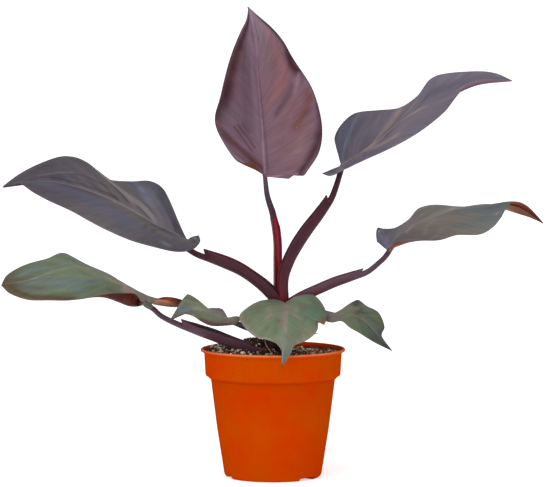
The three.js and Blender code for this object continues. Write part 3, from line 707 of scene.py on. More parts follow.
def make_blade(node, spec, look):
    name = node.replace("leaf", "blade")
    rows, columns = (SMALL_ROWS, SMALL_COLUMNS) if "small" in spec else (BLADE_ROWS, BLADE_COLUMNS)
    along_s, half = np.linspace(0, TIP_SHARE, rows + 1), blade_columns(columns)
    grid, normal = blade_surface(spec, along_s, half)
    s, v = np.meshgrid(along_s, np.concatenate([-half[:0:-1], half]), indexing="ij")
    away = np.linalg.norm(grid - grid[:, len(half) - 1 : len(half)], axis=2)
    grid = grid + normal * relief(look, s, v, away)[..., None]
    normal = unit(np.cross(np.gradient(grid, axis=1), np.gradient(grid, axis=0)))
    taper = 1 - 0.8 * s
    thin = BLADE_THICKNESS * (1 - 0.6 * np.abs(v) ** 6) / 2
    channel = 0.5 * taper * bell(away / (1.3 * taper))
    rib = spec["rib"] * taper * bell(away / (1.5 * taper), 4)
    skins = grid + normal * (thin - channel)[..., None], grid - normal * (thin + rib)[..., None]
    colours = blade_colours(look, s, v, away, taper, Rail(spec["midrib"]).length)
    uv = np.stack([v * 0.5 + 0.5, s - VEIN_SWEEP * np.abs(v)], -1)
    both = skins, colours, (uv, uv)
    vertices, colours, uv = (np.concatenate(pair).reshape(-1, pair[0].shape[-1]) for pair in both)
    faces, which = blade_faces(*s.shape)
    upper = leaf_material(name + "_upper", look["gloss"], look["freckle"], look["coat"], look["shine"])
    lower = leaf_material(name + "_under", gloss=0.5, freckle=0.2, coat=0, shine=0.12)
    attach(add_mesh(name, vertices, faces.tolist(), [upper, lower], colours, uv, which), look["slot"], node)


# Stalks and stem

def stalk_section(radius, wing, half, winged):
    """Points [side, up] round a stalk's axis, from its channel on: a sheath with two wings, or a circle."""
    t = np.linspace(0, 1, STALK_SIDES, endpoint=False)
    if not winged:
        angle = 2 * math.pi * t
        return radius * np.stack([np.sin(angle), np.cos(angle)], -1)
    right = [
        [0, 0.2 * radius], [0.5 * half, 0.35 * wing], [0.74 * half, 0.97 * wing], [0.9 * half, 1.02 * wing],
        [1.05 * half, 0.86 * wing], [half, 0], [0.6 * radius, -0.8 * radius],
    ]
    points = right + [[0, -radius]] + [[-x, y] for x, y in right[:0:-1]]
    closed = np.array(points + points[:1], float)
    wrapped = np.vstack([closed[-2], closed, closed[1]])
    return spline(wrapped, (t * (len(closed) - 1) + 1) / (len(wrapped) - 1))


def close_sheath(section, wing, closing):
    """Draws a section together where the sheath closes, and gives how far each point leans ahead in mm."""
    around = np.arange(STALK_SIDES)
    channel = np.minimum(around, STALK_SIDES - around) < STALK_SIDES / 7
    high = np.clip(section[:, 1] / wing, 0, 1)
    section[channel, 1] += closing * (0.96 * wing - section[channel, 1])
    section[:, 0] *= 1 - 0.75 * closing * np.where(channel, 1, high)
    return POINT_LENGTH * closing**1.5 * np.where(channel, 1, high**3)


def make_tube(rings):
    """Vertices and faces of rings joined in order, with a fan at each end."""
    count = rings.shape[1]
    vertices = np.concatenate([rings.reshape(-1, 3), rings[:1].mean(1), rings[-1:].mean(1)])
    index = np.arange(rings.shape[0] * count).reshape(-1, count)
    nxt = np.roll(index, -1, axis=1)
    quads = np.stack([index[:-1], nxt[:-1], nxt[1:], index[1:]], -1).reshape(-1, 4).tolist()
    start, end = len(vertices) - 2, len(vertices) - 1
    for k in range(count):
        after = (k + 1) % count
        quads.append([start, int(index[0, after]), int(index[0, k])])
        quads.append([end, int(index[-1, k]), int(index[-1, after])])
    return vertices, quads


def make_stalk(node, spec, look):
    rail = Rail(spec["path"])
    split = spec["sheath"]
    step = STALK_STEP / rail.length
    sheathed = np.linspace(0, split, max(int(split / step), 8))
    bare = np.linspace(split + 1 / rail.length, 1, max(int((1 - split) / step), 8))
    stations = np.concatenate([sheathed, bare])
    points, ahead = rail.at(stations), rail.ahead(stations)
    side = unit(np.cross(ahead, np.asarray(spec["upper"], float)))
    up = unit(np.cross(side, ahead))
    radii = along(spec["radii"], stations)
    wings = along(spec["wings"], np.minimum(stations / split, 1))
    rings = []
    for i, t in enumerate(stations):
        section = stalk_section(radii[i], wings[i], spec["half"], t <= split)
        lean = np.zeros(STALK_SIDES)
        past = (t - split) * rail.length
        if -CLOSING_LENGTH < past <= 0:
            lean = close_sheath(section, wings[i], (1 + past / CLOSING_LENGTH) ** 1.5)
        rings.append(points[i] + side[i] * section[:, :1] + up[i] * section[:, 1:] + ahead[i] * lean[:, None])
    vertices, faces = make_tube(np.array(rings))
    t, around = np.meshgrid(stations, np.arange(STALK_SIDES) / STALK_SIDES, indexing="ij")
    high = np.cos(2 * math.pi * around)
    colour = painted(look["colour"], look["strokes"], t, high, rail.length, STROKE_WIDTH)
    colour = np.concatenate([colour.reshape(-1, 3), colour[0, :1], colour[-1, :1]])
    uv = np.stack([np.abs(around * 2 - 1), t * rail.length / GRAIN_LENGTH], -1).reshape(-1, 2)
    uv = np.concatenate([uv, uv[:1], uv[-1:]])
    name = node.replace("petiole", "stalk")
    obj = add_mesh(name, vertices, faces, [materials["stalk"]], colour, uv, sharp=60)
    attach(obj, "stalk_burgundy", node)


def make_rod(path, radii, sides, steps, bumps=0.0, seed=0):
    """A round tube along a path, with a bumpy skin where bumps says how high in mm."""
    rail = Rail(path)
    t = np.linspace(0, 1, steps)
    ahead = rail.ahead(t)
    side = unit(np.cross(np.array([0.13, 1, 0.07]), ahead))
    up = np.cross(ahead, side)
    angle = 2 * math.pi * np.arange(sides) / sides
    radius = along(radii, t)[:, None]
    centre = rail.at(t)[:, None]
    turned = side[:, None] * np.cos(angle)[None, :, None] + up[:, None] * np.sin(angle)[None, :, None]
    if bumps:
        at = centre + turned * radius[..., None]
        radius = radius + bumps * lattice(at[..., 0], at[..., 1], at[..., 2], size=4, seed=seed)
    return make_tube(centre + turned * radius[..., None])


def make_rod_piece(name, path, radii, rgb, *nodes, sides, steps, bumps, seed, axis):
    """A piece of one colour with stalk skin. Its grain runs along X (axis 0) or Z (axis 2)."""
    vertices, faces = make_rod(path, radii, sides, steps, bumps, seed)
    around = np.arctan2(vertices[:, 1], vertices[:, 2 - axis])
    uv = np.stack([around / GRAIN_TURN, vertices[:, axis] / GRAIN_LENGTH], -1)
    colours = np.tile(linear(rgb), (len(vertices), 1))
    attach(add_mesh(name, vertices, faces, [materials["stalk"]], colours, uv), "stalk_burgundy", *nodes)


# Pot

OUTSIDE = [
    [FOOT_RADIUS, 0], [FOOT_RADIUS + 1.6, 0.25], [FOOT_RADIUS + 2.6, 1], [FOOT_RADIUS + 3.5, 2.2],
    [FOOT_RADIUS + 4, 3.6], [FOOT_RADIUS + 4.5, 7], [46.4, 41], [WAIST_RADIUS, STEP_Z - 4],
    [WAIST_RADIUS + 0.4, STEP_Z - 3.1], [WAIST_RADIUS + 1.4, STEP_Z - 2.5], [COLLAR_RADIUS - 1.8, STEP_Z - 1],
    [COLLAR_RADIUS - 0.5, STEP_Z - 0.3], [COLLAR_RADIUS, STEP_Z + 0.9], [COLLAR_RADIUS + 1, POT_HEIGHT - 3.8],
    [COLLAR_RADIUS + 1.5, POT_HEIGHT - 2.9], [LIP_RADIUS - 0.8, POT_HEIGHT - 2.4],
    [LIP_RADIUS - 0.2, POT_HEIGHT - 1.9], [LIP_RADIUS, POT_HEIGHT - 1.2],
    [LIP_RADIUS - 0.2, POT_HEIGHT - 0.5], [LIP_RADIUS - 0.8, POT_HEIGHT - 0.1], [LIP_RADIUS - 1.6, POT_HEIGHT],
]
INSIDE = [
    [LIP_RADIUS - 2.4, POT_HEIGHT - 0.3], [LIP_RADIUS - 3.4, POT_HEIGHT - 1.8],
    [COLLAR_RADIUS - 0.1, POT_HEIGHT - 3.6], [COLLAR_RADIUS - POT_WALL, STEP_Z + 1],
    [WAIST_RADIUS + 0.2, STEP_Z - 2.6], [WAIST_RADIUS - POT_WALL, STEP_Z - 4.4],
    [FOOT_RADIUS + 4.5 - POT_WALL, 7], [FOOT_RADIUS + 2.2, 3.2], [FOOT_RADIUS, POT_FLOOR],
]


def rings_of(profile, sides):
    """A ring of points round the Z axis for each (radius, z) of a profile."""
    angle = 2 * math.pi * np.arange(sides) / sides
    x, y = np.cos(angle), np.sin(angle)
    return np.array([np.stack([r * x, r * y, np.full(sides, float(z))], -1) for r, z in profile])


def turned_body(name, profile, sides):
    """A closed body turned about the Z axis, from a profile that starts and ends on the axis."""
    vertices, faces = make_tube(rings_of(profile[1:-1], sides))
    vertices[-2], vertices[-1] = [0, 0, profile[0][1]], [0, 0, profile[-1][1]]
    return add_mesh(name, vertices, faces, [])


def cut(obj, cutter):
    """Cuts the cutter out of obj and removes it."""
    modifier = obj.modifiers.new("cut", "BOOLEAN")
    modifier.operation, modifier.solver, modifier.object = "DIFFERENCE", "EXACT", cutter
    bpy.context.view_layer.update()
    graph = bpy.context.evaluated_depsgraph_get()
    mesh = bpy.data.meshes.new_from_object(obj.evaluated_get(graph))
    obj.modifiers.clear()
    obj.data = mesh
    bpy.data.objects.remove(cutter)


def clean_cuts(mesh):
    """Merges points that the cuts left in one place and splits the many-sided faces."""
    made = bmesh.new()
    made.from_mesh(mesh)
    bmesh.ops.remove_doubles(made, verts=made.verts, dist=SAME_PLACE)
    bmesh.ops.dissolve_degenerate(made, dist=SAME_PLACE, edges=made.edges)
    bmesh.ops.triangulate(made, faces=[face for face in made.faces if len(face.verts) > 4])
    made.to_mesh(mesh)
    made.free()


def link_made(name, made):
    """A new object of the scene with what a bmesh holds."""
    mesh = bpy.data.meshes.new(name)
    made.to_mesh(mesh)
    made.free()
    return link(name, mesh)


def blocks_at_notches(name, depth, width, height):
    """Blocks across the foot at each notch, joined in one mesh."""
    made = bmesh.new()
    for degrees in NOTCH_ANGLES:
        turn = Euler((0, 0, math.radians(degrees))).to_matrix().to_4x4()
        before = set(made.verts)
        bmesh.ops.create_cube(made, size=1)
        for vert in set(made.verts) - before:
            x, y, z = vert.co
            spot = Vector(((FOOT_RADIUS + 12 - depth / 2 + x * depth), y * width, z * 2 * height))
            vert.co = (turn @ spot) * MM
    return link_made(name, made)


def drills(name):
    """Upright cylinders at each notch's angle, joined in one mesh."""
    made = bmesh.new()
    radius, depth = DRAIN_RADIUS * MM, DRAIN_DEPTH * MM
    for degrees in NOTCH_ANGLES:
        angle = math.radians(degrees)
        before = set(made.verts)
        bmesh.ops.create_cone(made, cap_ends=True, segments=32, radius1=radius, radius2=radius, depth=depth)
        for vert in set(made.verts) - before:
            vert.co += Vector((math.cos(angle), math.sin(angle), 0)) * DRAIN_CIRCLE * MM
    return link_made(name, made)


def pot_colours(radius, z):
    """Colours of the pot's points: painted shade inside, under the step and towards the foot, and a painted
    highlight on the lip.
    """
    colour = np.tile(linear((180, 67, 0)), (len(z), 1))
    inside = (z > 12) & (radius < np.interp(z, [7, 41, 81, 86, 104], [40.5, 45.8, 50.8, 55.2, 56.3]))
    # Painted shade: the inner wall is coloured darker.
    colour[inside] = linear((140, 44, 38))
    # Painted shade under the step.
    under_step = bell((z - (STEP_Z - 2.6)) / 1.4) * ~inside
    colour += (0.5 * under_step)[:, None] * (linear((132, 34, 0)) - colour)
    # Painted shade, darker towards the foot.
    colour *= np.interp(z, [0, 45, 100], [0.88, 0.97, 1])[:, None]
    # A painted highlight along the top edge of the lip.
    lip = np.clip((z - (POT_HEIGHT - 1.5)) / 0.9, 0, 1) * (radius > LIP_RADIUS - 2.2)
    colour += (0.8 * lip)[:, None] * (linear((232, 142, 102)) - colour)
    return colour


def make_pot():
    pot = turned_body("pot_shell", [[0, 0]] + OUTSIDE + [[0, POT_HEIGHT]], POT_SIDES)
    above = POT_HEIGHT + 5
    inner = INSIDE[::-1] + [[LIP_RADIUS - 1.9, POT_HEIGHT], [LIP_RADIUS - 1.7, above]]
    hollow = turned_body("hollow", [[0, POT_FLOOR]] + inner + [[0, above]], POT_SIDES)
    cut(hollow, blocks_at_notches("ceilings", *CEILING_BLOCK))
    for cutter in (blocks_at_notches("notches", *NOTCH_BLOCK), hollow, drills("drains")):
        cut(pot, cutter)
    mesh = pot.data
    clean_cuts(mesh)
    mesh.materials.clear()
    mesh.materials.append(materials["pot"])
    mesh.shade_smooth()
    mesh.set_sharp_from_angle(angle=math.radians(38))
    at = np.array([v.co for v in mesh.vertices]) / MM
    tint(mesh, pot_colours(np.hypot(at[:, 0], at[:, 1]), at[:, 2]))
    attach(pot, "pot_plastic", "pot")


# Soil

def soil_height(x, y):
    """Height of the soil's surface: a low heap left of the stem, a mound behind it, and a rise to the lip."""
    heap = 2.4 * np.exp(-((x + 32) ** 2 + (y - 2) ** 2) / 500)
    mound = MOUND_HEIGHT * np.exp(-((((x + 14) / 14) ** 2 + ((y - 6) / 11) ** 2) ** 1.5))
    collar = 2.2 * np.exp(-((x + 3) ** 2 + y**2) / 220)
    lumps = 0.5 * np.sin(0.31 * x + 0.4) * np.cos(0.27 * y - 0.6)
    slope = -0.012 * x + 1.8 * (x / 55) ** 4
    return SOIL_LEVEL + heap + mound + collar + slope + lumps


def crumbled_height(x, y):
    """The soil's height with its crumbs and two small heaps on the left."""
    rough = 0
    for height, size, seed in ((0.9, 5.5, 1), (0.7, 2.6, 2), (0.45, 1.2, 3)):
        rough = rough + height * lattice(x, y, x * 0, size, seed)
    rim = np.clip((SOIL_RADIUS - np.hypot(x, y)) / 4, 0, 1)
    heap = 3.4 * np.exp(-((x + 43) ** 2 + (y - 22) ** 2) / 130)
    heap = heap + 1.2 * np.exp(-((x + 34) ** 2 + (y + 20) ** 2) / 260)
    return soil_height(x, y) + rough * (0.3 + 0.7 * rim) - 0.4 + heap


def make_soil_bed():
    radius = SOIL_RADIUS * np.linspace(1, 0.004, SOIL_RINGS) ** 0.85
    angle = 2 * math.pi * np.arange(SOIL_SIDES) / SOIL_SIDES
    r, a = np.meshgrid(radius, angle, indexing="ij")
    x, y = r * np.cos(a), r * np.sin(a)
    top = np.stack([x, y, crumbled_height(x, y)], -1)
    below = [[33, 5.2], [39, 7.6], [49, STEP_Z - 4.5], [50.2, STEP_Z - 2.4], [54.2, STEP_Z + 1.2]]
    vertices, faces = make_tube(np.concatenate([rings_of(below, SOIL_SIDES), top]))
    noise = lattice(*vertices.T, size=3.1, seed=5)
    right = np.clip((vertices[:, :1] - 4) / 22, 0, 1)
    dark, brown = linear((46, 34, 28)), linear((92, 60, 46))
    colours = (dark + right * (brown - dark)) * (1 + 0.8 * (noise > 0.25)[:, None])
    attach(add_mesh("soil_bed", vertices, faces, [materials["soil"]], colours), "soil", "soil")


def ball(level):
    """Vertices and triangles of a round ball of radius 1."""
    made = bmesh.new()
    bmesh.ops.create_icosphere(made, subdivisions=level, radius=1)
    vertices = np.array([v.co for v in made.verts])
    faces = [[v.index for v in f.verts] for f in made.faces]
    made.free()
    return vertices, faces


class Pile:
    """Many small bodies in one mesh."""

    def __init__(self):
        self.vertices, self.faces, self.colours = [], [], []
        self.size = 0

    def add(self, vertices, faces, colour):
        self.faces += [[i + self.size for i in face] for face in faces]
        self.vertices.append(vertices)
        self.colours.append(np.tile(colour, (len(vertices), 1)))
        self.size += len(vertices)

    def finish(self, name, material):
        colours = np.concatenate(self.colours)
        attach(add_mesh(name, np.concatenate(self.vertices), self.faces, [material], colours), "soil")


def random_spot(rng, margin):
    """A place on the soil, each part of it as likely as another."""
    reach, turn = (SOIL_RADIUS - margin) * math.sqrt(rng.random()), 2 * math.pi * rng.random()
    return reach * math.cos(turn), reach * math.sin(turn)


def height_at(surface, x, y):
    return float(surface(np.array([x]), np.array([y]))[0])


def scatter(name, rng, count, sizes, shape, colours, material, lift, level, clumps):
    """Lumps strewn over the soil, some of them in clumps. shape is their mean stretch along X, Y and Z."""
    vertices, faces = ball(level)
    pile = Pile()
    made = 0
    while made < count:
        x, y = random_spot(rng, GRAIN_MARGIN)
        if clumps and rng.random() < CLUMPED_SHARE:
            cx, cy, spread = clumps[rng.integers(len(clumps))]
            x, y = cx + spread * rng.normal(), cy + spread * rng.normal()
        at_stem = math.dist((x, y), STEM_PLACE) < STEM_CLEARANCE
        if at_stem or math.hypot(x, y) > SOIL_RADIUS - GRAIN_MARGIN:
            continue
        size = sizes[0] + (sizes[1] - sizes[0]) * rng.random() ** 2.2
        stretch = np.asarray(shape) * (1 + 0.35 * rng.normal(size=3)).clip(0.45, 1.7)
        lumps = 1 + 0.22 * lattice(*(vertices.T + made * 7.3), size=0.8, seed=made % 97)
        turned = Euler(tuple(rng.uniform(-1, 1, 3) * [0.5, 0.5, math.pi])).to_matrix()
        body = (vertices * lumps[:, None] * stretch * size) @ np.array(turned).T
        z = height_at(crumbled_height, x, y) + lift * size * stretch[2]
        colour = linear(colours[rng.integers(len(colours))]) * rng.uniform(0.75, 1.15)
        pile.add(body + [x, y, z], faces, colour)
        made += 1
    pile.finish(name, material)


def fibre_path(rng):
    """A wandering path over the soil, shorter where it would leave it."""
    x, y = random_spot(rng, 6)
    heading, length = 2 * math.pi * rng.random(), rng.uniform(4, 14)
    path = []
    for _ in range(4):
        heading += rng.normal() * 0.5
        x, y = x + math.cos(heading) * length / 4, y + math.sin(heading) * length / 4
        if math.hypot(x, y) > SOIL_RADIUS - 1:
            break
        path.append([x, y, height_at(soil_height, x, y) + rng.uniform(-0.2, 1.3)])
    return path


def make_fibres(rng):
    """Coir fibres and thin roots lying on the soil."""
    root_path = [[-6.6, -13, 115], [-6, -14, 112], [-4, -15.5, 108.5], [-0.8, -17, 104.5], [1, -18, 102]]
    strands = [
        (root_path, 0.5, (236, 198, 170)),
        ([[-3, -30, 102.5], [1, -24, 105], [3, -17, 106.5]], 0.28, (164, 124, 86)),
    ]
    tones = [(150, 110, 74), (116, 80, 52), (184, 150, 112), (78, 54, 40)]
    for _ in range(FIBRE_COUNT):
        path = fibre_path(rng)
        if len(path) > 2:
            tone = tones[rng.integers(len(tones))]
            strands.append((path, rng.uniform(0.12, 0.3), tone))
    pile = Pile()
    for path, radius, tone in strands:
        vertices, faces = make_rod(path, [radius, radius * 1.1, radius * 0.6], sides=6, steps=12)
        pile.add(vertices, faces, linear(tone))
    pile.finish("soil_fibres", materials["fibre"])


# Looks of the leaves. The colours of a blade run from its base to its tip, and brush strokes are laid over
# them in the order given. A stroke is paint, reach in mm, strength and points (s, v) in percent, with s from
# the base, 0, to the tip, 100, and v from the left edge, -100, over the midrib to the right edge, 100. A fold
# is (s, v, reach in s, reach in v, slant, rise in mm) and a ripple (side, waves, rise in mm, shift), with s
# and v as shares.
EDGE_RIPPLES = [(1, 5, 0.2, 0.3), (-1, 5, 0.2, 0)]

# What a leaf's look says where it says nothing of its own.
PLAIN_LOOK = {
  "lower_strokes": [], "keel": "sienna", "rim_strength": 0.5, "folds": [], "ripples": [],
  "gloss": 0.42, "freckle": 0.15, "coat": 0.15, "shine": 0.5,
}

LEAF_LOOKS = {
  "leaf_1": {
    "slot": "leaf_mauve",
    "upper": ["mauve", "mauve", "mauve", "mauve", "orchid"],
    "upper_strokes": [
      ("rosewood", 17, 0.45, (75, 45), (55, 50), (35, 50), (18, 50)),
      ("plum", 12, 0.55, (70, -35), (55, -45), (40, -40)),
      ("orchid", 4, 0.3, (80, -30), (60, -15), (40, -10)),
      ("smoke", 4, 0.55, (80, -60), (72, -55), (62, -55)),
      ("oxblood", 9, 0.95, (95, -70), (85, -80), (72, -85), (60, -88), (47, -91), (37, -100)),
      ("lilac", 2.6, 0.3, (34, -100), (33, -80), (27, -40)),
      ("oxwood", 6.5, 0.9, (30, -87), (26, -66), (23, -50), (18, -25), (14, -6)),
      ("lilac", 2.6, 0.5, (24, -100), (14, -85), (7, -55)),
      ("rust", 2.4, 0.7, (6, -40), (3, -20)),
      ("lilac", 4.5, 0.6, (100, 0), (94, 20)),
      ("blush", 2.2, 0.45, (97, 0), (90, 0), (82, 0)),
      ("plum", 1.6, 0.7, (93, -30), (86, -20)),
      ("ink", 1.5, 0.6, (93, 30), (86, 20)),
      ("ash", 5, 0.45, (88, 45), (80, 40), (70, 30)),
      ("brick", 4, 0.4, (86, 75), (76, 73)),
      ("brick", 4.6, 0.55, (73, 68), (67, 73), (62, 62), (60, 50)),
      ("brick", 3, 0.45, (59, 40), (56, 10)),
      ("oxblood", 3.6, 0.95, (93, 90), (84, 97), (76, 99), (69, 98)),
      ("oxblood", 4.6, 0.95, (70, 93), (65, 90), (62, 93)),
      ("lilac", 1.6, 0.5, (60, 92), (56.5, 80), (54, 70)),
      ("plum", 2.8, 0.75, (57, 70), (52, 45), (49, 30)),
      ("cocoa", 4.6, 0.85, (48, 90), (43, 78), (38, 60)),
      # A painted highlight near the right edge.
      ("orchid", 2, 0.5, (44, 94), (38, 93)),
      ("blush_grey", 4, 0.35, (30, 66), (25, 60)),
      ("violet", 4, 0.9, (42, 100), (36, 99), (31, 97)),
      ("oxblood", 5, 0.85, (28, 95), (20, 88), (12, 85), (7, 85)),
      ("lilac", 2, 0.8, (1, 15), (3, 50), (8, 80)),
      ("maroon", 1, 0.8, (39, -53), (35, -33), (30, -18)),
      ("maroon", 1, 0.7, (37, -60), (32, -40), (27, -25)),
      ("maroon", 0.9, 0.6, (41, -45), (38, -30)),
      ("thistle", 2.2, 0.6, (2, 2), (20, 2), (38, 2)),
      ("plum", 0.9, 0.7, (2, 7), (20, 6), (38, 5), (60, 4), (80, 3)),
    ],
    "lower": ["sienna", "umber", "sienna"],
    "midrib": "lilac", "midrib_strength": 0.75, "rim": "maroon", "rim_strength": 0.7,
    "veins": 15, "gloss": 0.4, "coat": 0, "shine": 0.25,
    "folds": [(0.1, -0.55, 0.05, 0.5, -0.12, 1.3), (0.45, 0.72, 0.06, 0.35, 0.4, -1)],
    "ripples": [(1, 6, 0.5, 0.1), (-1, 4, 0.5, 0.4)],
  },
  "leaf_2": {
    "slot": "leaf_purple_grey",
    "upper": ["heather"] * 5,
    "upper_strokes": [
      ("slate", 13, 0.85, (5, -30), (10, -60), (17, -78)),
      ("ink", 2.2, 0.7, (4, -90), (10, -100), (20, -100)),
      # Painted highlights: pale lines on the base lobe.
      ("painted_sheen", 2.2, 0.3, (6, -15), (13, -50), (21, -85)),
      ("painted_sheen", 1.6, 0.2, (4, -10), (8, -45), (12, -75)),
      ("plum", 3.4, 0.35, (9, -10), (18, -45), (25, -85)),
      ("plum", 5, 0.25, (30, -40), (30, 0)),
      ("taupe", 4.2, 0.75, (36, -2), (40, -45), (44, -90)),
      ("taupe", 2.8, 0.85, (42, -2), (48, -40), (53, -80)),
      ("plum", 0.9, 0.6, (38, -20), (43, -50), (47, -80)),
      ("plum", 1.3, 0.9, (45, -8), (52, -40), (58, -75)),
      ("slate", 9, 0.35, (65, -50), (78, -45), (90, -40)),
      ("plum", 3, 0.35, (60, -20), (66, -60)),
      ("orchid", 2.4, 0.4, (72, -10), (78, -50)),
      ("orchid", 6, 0.25, (45, 40), (55, 50), (66, 75)),
      ("taupe", 4.6, 0.75, (31, 5), (35, 30), (42, 50)),
      ("orchid", 3, 0.5, (22, 30), (27, 70)),
      ("beige", 4, 0.8, (42, -2), (55, -2), (66, 0)),
      ("sandy", 3, 0.8, (30, 2), (76, 2)),
      ("taupe", 2.6, 0.7, (70, 5), (85, 30)),
      ("ink", 1.5, 0.9, (43, 12), (50, 15), (57, 15)),
      # A painted highlight along the upper edge of the base.
      ("silver", 2, 0.7, (2, 15), (14, 20), (25, 10)),
      ("silver", 1.4, 0.5, (4, 90), (14, 90), (28, 92), (42, 97)),
      ("plum", 3.4, 0.8, (0, 70), (5, 60)),
      ("blush", 1.8, 0.7, (75, 90), (82, 90), (91, 95)),
      ("mauve", 4, 0.5, (94, -30), (99, 0)),
    ],
    "lower": ["mauve", "mauve", "thistle", "orchid"],
    "midrib": "sandy", "midrib_strength": 0.5, "keel": "orchid", "rim": "plum",
    "veins": 16,
    "folds": [(0.4, -0.4, 0.03, 0.5, -0.15, 0.8), (0.52, -0.35, 0.03, 0.4, -0.1, 0.6)],
    "ripples": EDGE_RIPPLES,
  },
  "leaf_3": {
    "slot": "leaf_purple_grey",
    "upper": ["smoke", "smoke", "ash", "smoke", "smoke"],
    "upper_strokes": [
      # Painted blue sheen and a painted highlight on the base lobe.
      ("slate", 5, 0.9, (37, 85), (33, 75), (33, 50)),
      ("painted_sheen", 2.5, 0.3, (34, 80), (34, 72)),
      ("steel", 4.5, 0.9, (24, 85), (27, 60), (26, 35)),
      ("ink", 3, 0.7, (22, 98), (14, 85)),
      ("ink", 4.5, 0.35, (12, 60), (17, 30), (20, 10)),
      ("ash", 4, 0.6, (40, 60), (39, 30), (35, 10)),
      # Painted highlight on the fold's ridge and painted shade in its crease.
      ("taupe", 3.4, 0.75, (53, 88), (49, 55), (45, 30)),
      ("ink", 1.8, 0.85, (56, 80), (52, 45), (49, 20)),
      ("smoke", 6, 0.6, (74, 75), (62, 85)),
      ("ink", 1.2, 0.8, (80, 45), (68, 40), (58, 30)),
      ("ink", 2.6, 1, (82, 20), (72, 13), (62, 12), (56, 12)),
      ("maroon", 4.2, 0.45, (87, 70), (79, 80)),
      ("silver", 1, 0.45, (86, 35), (78, 45), (72, 45)),
      ("silver", 1.2, 0.4, (68, 97), (60, 97)),
      ("ink", 3.5, 0.5, (90, 25), (82, 30), (72, 30), (64, 20)),
      ("slate", 11, 0.65, (85, -35), (70, -45), (55, -50), (40, -55)),
      ("silver", 2, 0.5, (95, 0), (88, -5)),
      ("silver", 2.2, 0.6, (58, -5), (45, -4), (30, -6), (15, -12), (5, -20)),
      ("khaki", 5, 0.75, (46, -20), (35, -35), (25, -45)),
      ("ink", 1.5, 0.5, (36, -35), (35, -50)),
      ("ink", 1.5, 0.5, (31, -40), (30, -55)),
      # A painted glint.
      ("painted_sheen", 2.4, 0.45, (23, -80), (21, -84)),
      # Painted shade in the curled base and a painted highlight beside it.
      ("ink", 2, 0.9, (6, -80), (7, -65)),
      ("painted_sheen", 2, 0.9, (2, -80), (3, -60)),
      ("mauve", 3, 0.5, (98, 10), (93, 30)),
    ],
    "lower": ["sienna", "umber", "plum"],
    "midrib": "silver", "midrib_strength": 0.4, "keel": "plum", "rim": "plum", "rim_strength": 0.6,
    "veins": 16,
    "folds": [(0.5, 0.6, 0.025, 0.5, 0.25, -1.2), (0.44, 0.6, 0.03, 0.5, 0.25, 0.9)],
    "ripples": EDGE_RIPPLES,
  },
  "leaf_4": {
    "slot": "leaf_grey_green",
    "upper": ["slate", "ash", "stone", "sea", "teal"],
    "upper_strokes": [
      ("mist", 6.5, 0.5, (8, -80), (9, -30), (5, 20)),
      ("lilac", 3.5, 0.3, (10, -50), (12, -20)),
      ("ink", 1.6, 0.6, (5, -95), (12, -100)),
      ("ash", 6, 0.6, (25, -30), (30, 20)),
      ("beige", 2.2, 0.65, (25, -90), (34, -85), (41, -95)),
      ("khaki", 3, 0.6, (36, -70), (44, -80)),
      ("moss", 3, 0.7, (48, -80), (46, -50)),
      ("beige", 2.6, 0.8, (53, -75), (55, -40), (60, -20)),
      ("silver", 1.5, 0.7, (30, 10), (40, -10), (50, -20), (60, -15)),
      ("beige", 1.4, 0.3, (33, 50), (40, 25), (50, 10)),
      ("silver", 1.6, 0.3, (30, 85), (42, 60), (50, 55)),
      ("stone", 7, 0.4, (50, 50), (60, 70)),
      ("sea", 8, 0.8, (66, 10), (76, 30), (82, 40)),
      ("teal", 9, 0.45, (50, 60), (62, 75), (72, 60)),
      ("moss", 2.5, 0.7, (70, 90), (72, 80)),
      # Three painted glints: one near the tip and two on the base lobe.
      ("painted_sheen", 0.9, 0.9, (68, 85), (69, 85)),
      ("painted_glint", 0.8, 0.95, (8, -85), (8.5, -85)),
      ("painted_sheen", 0.7, 0.7, (10, -55), (10.5, -55)),
    ],
    "lower": ["copper", "sienna", "sienna", "copper", "umber"],
    "lower_strokes": [
      ("umber", 2, 0.8, (3, 90), (4, 50)),
      ("umber", 2.5, 0.7, (80, -10), (82, -40)),
      ("sienna", 1.8, 0.6, (86, -40), (93, -30)),
      ("olive", 5, 0.9, (97, -50), (100, 0)),
    ],
    "midrib": "silver", "midrib_strength": 0.35, "keel": "umber", "rim": "ink",
    "veins": 14,
    "folds": [(0.4, -0.4, 0.03, 0.5, -0.12, 0.8)],
    "ripples": EDGE_RIPPLES,
  },
  "leaf_5": {
    "slot": "leaf_grey_green",
    "upper": ["stone", "stone", "leafy", "leafy", "olive"],
    "upper_strokes": [
      ("leafy", 8, 0.8, (70, 80), (62, 70), (52, 75)),
      ("aqua", 6, 0.8, (88, 50), (80, 65)),
      ("aqua", 5, 0.6, (85, -30), (74, -30), (62, -35), (55, -35)),
      # A painted highlight line.
      ("painted_sheen", 2, 0.5, (80, 55), (72, 50), (65, 50)),
      ("pale_sage", 2, 0.7, (93, -20), (84, 10), (74, 30), (64, 35), (54, 35)),
      ("pale_sage", 4, 0.4, (60, 30), (54, 10)),
      ("moss", 4, 0.8, (50, -40), (54, -75), (62, -80)),
      # Painted blue sheen.
      ("painted_blue_sheen", 4.5, 0.6, (84, -10), (74, -20), (62, -25), (52, -20)),
      ("painted_blue_sheen", 3.5, 0.6, (52, -60), (60, -55), (68, -50)),
      ("smoke_green", 4.5, 0.7, (90, -50), (82, -55), (75, -60)),
      ("olive", 5.5, 0.95, (100, 0), (97, -30), (93, -60)),
      ("olive", 5.4, 0.95, (94, -70), (84, -85), (74, -90), (62, -92), (52, -95)),
      ("sienna", 1.6, 0.85, (90, -95), (76, -100), (62, -100), (52, -100)),
      ("sandy", 2.6, 0.7, (48, 10), (38, 5), (32, -10)),
      ("sandy", 5, 0.5, (36, 10), (30, 0)),
      ("moss", 2, 0.8, (43, -25), (38, -30)),
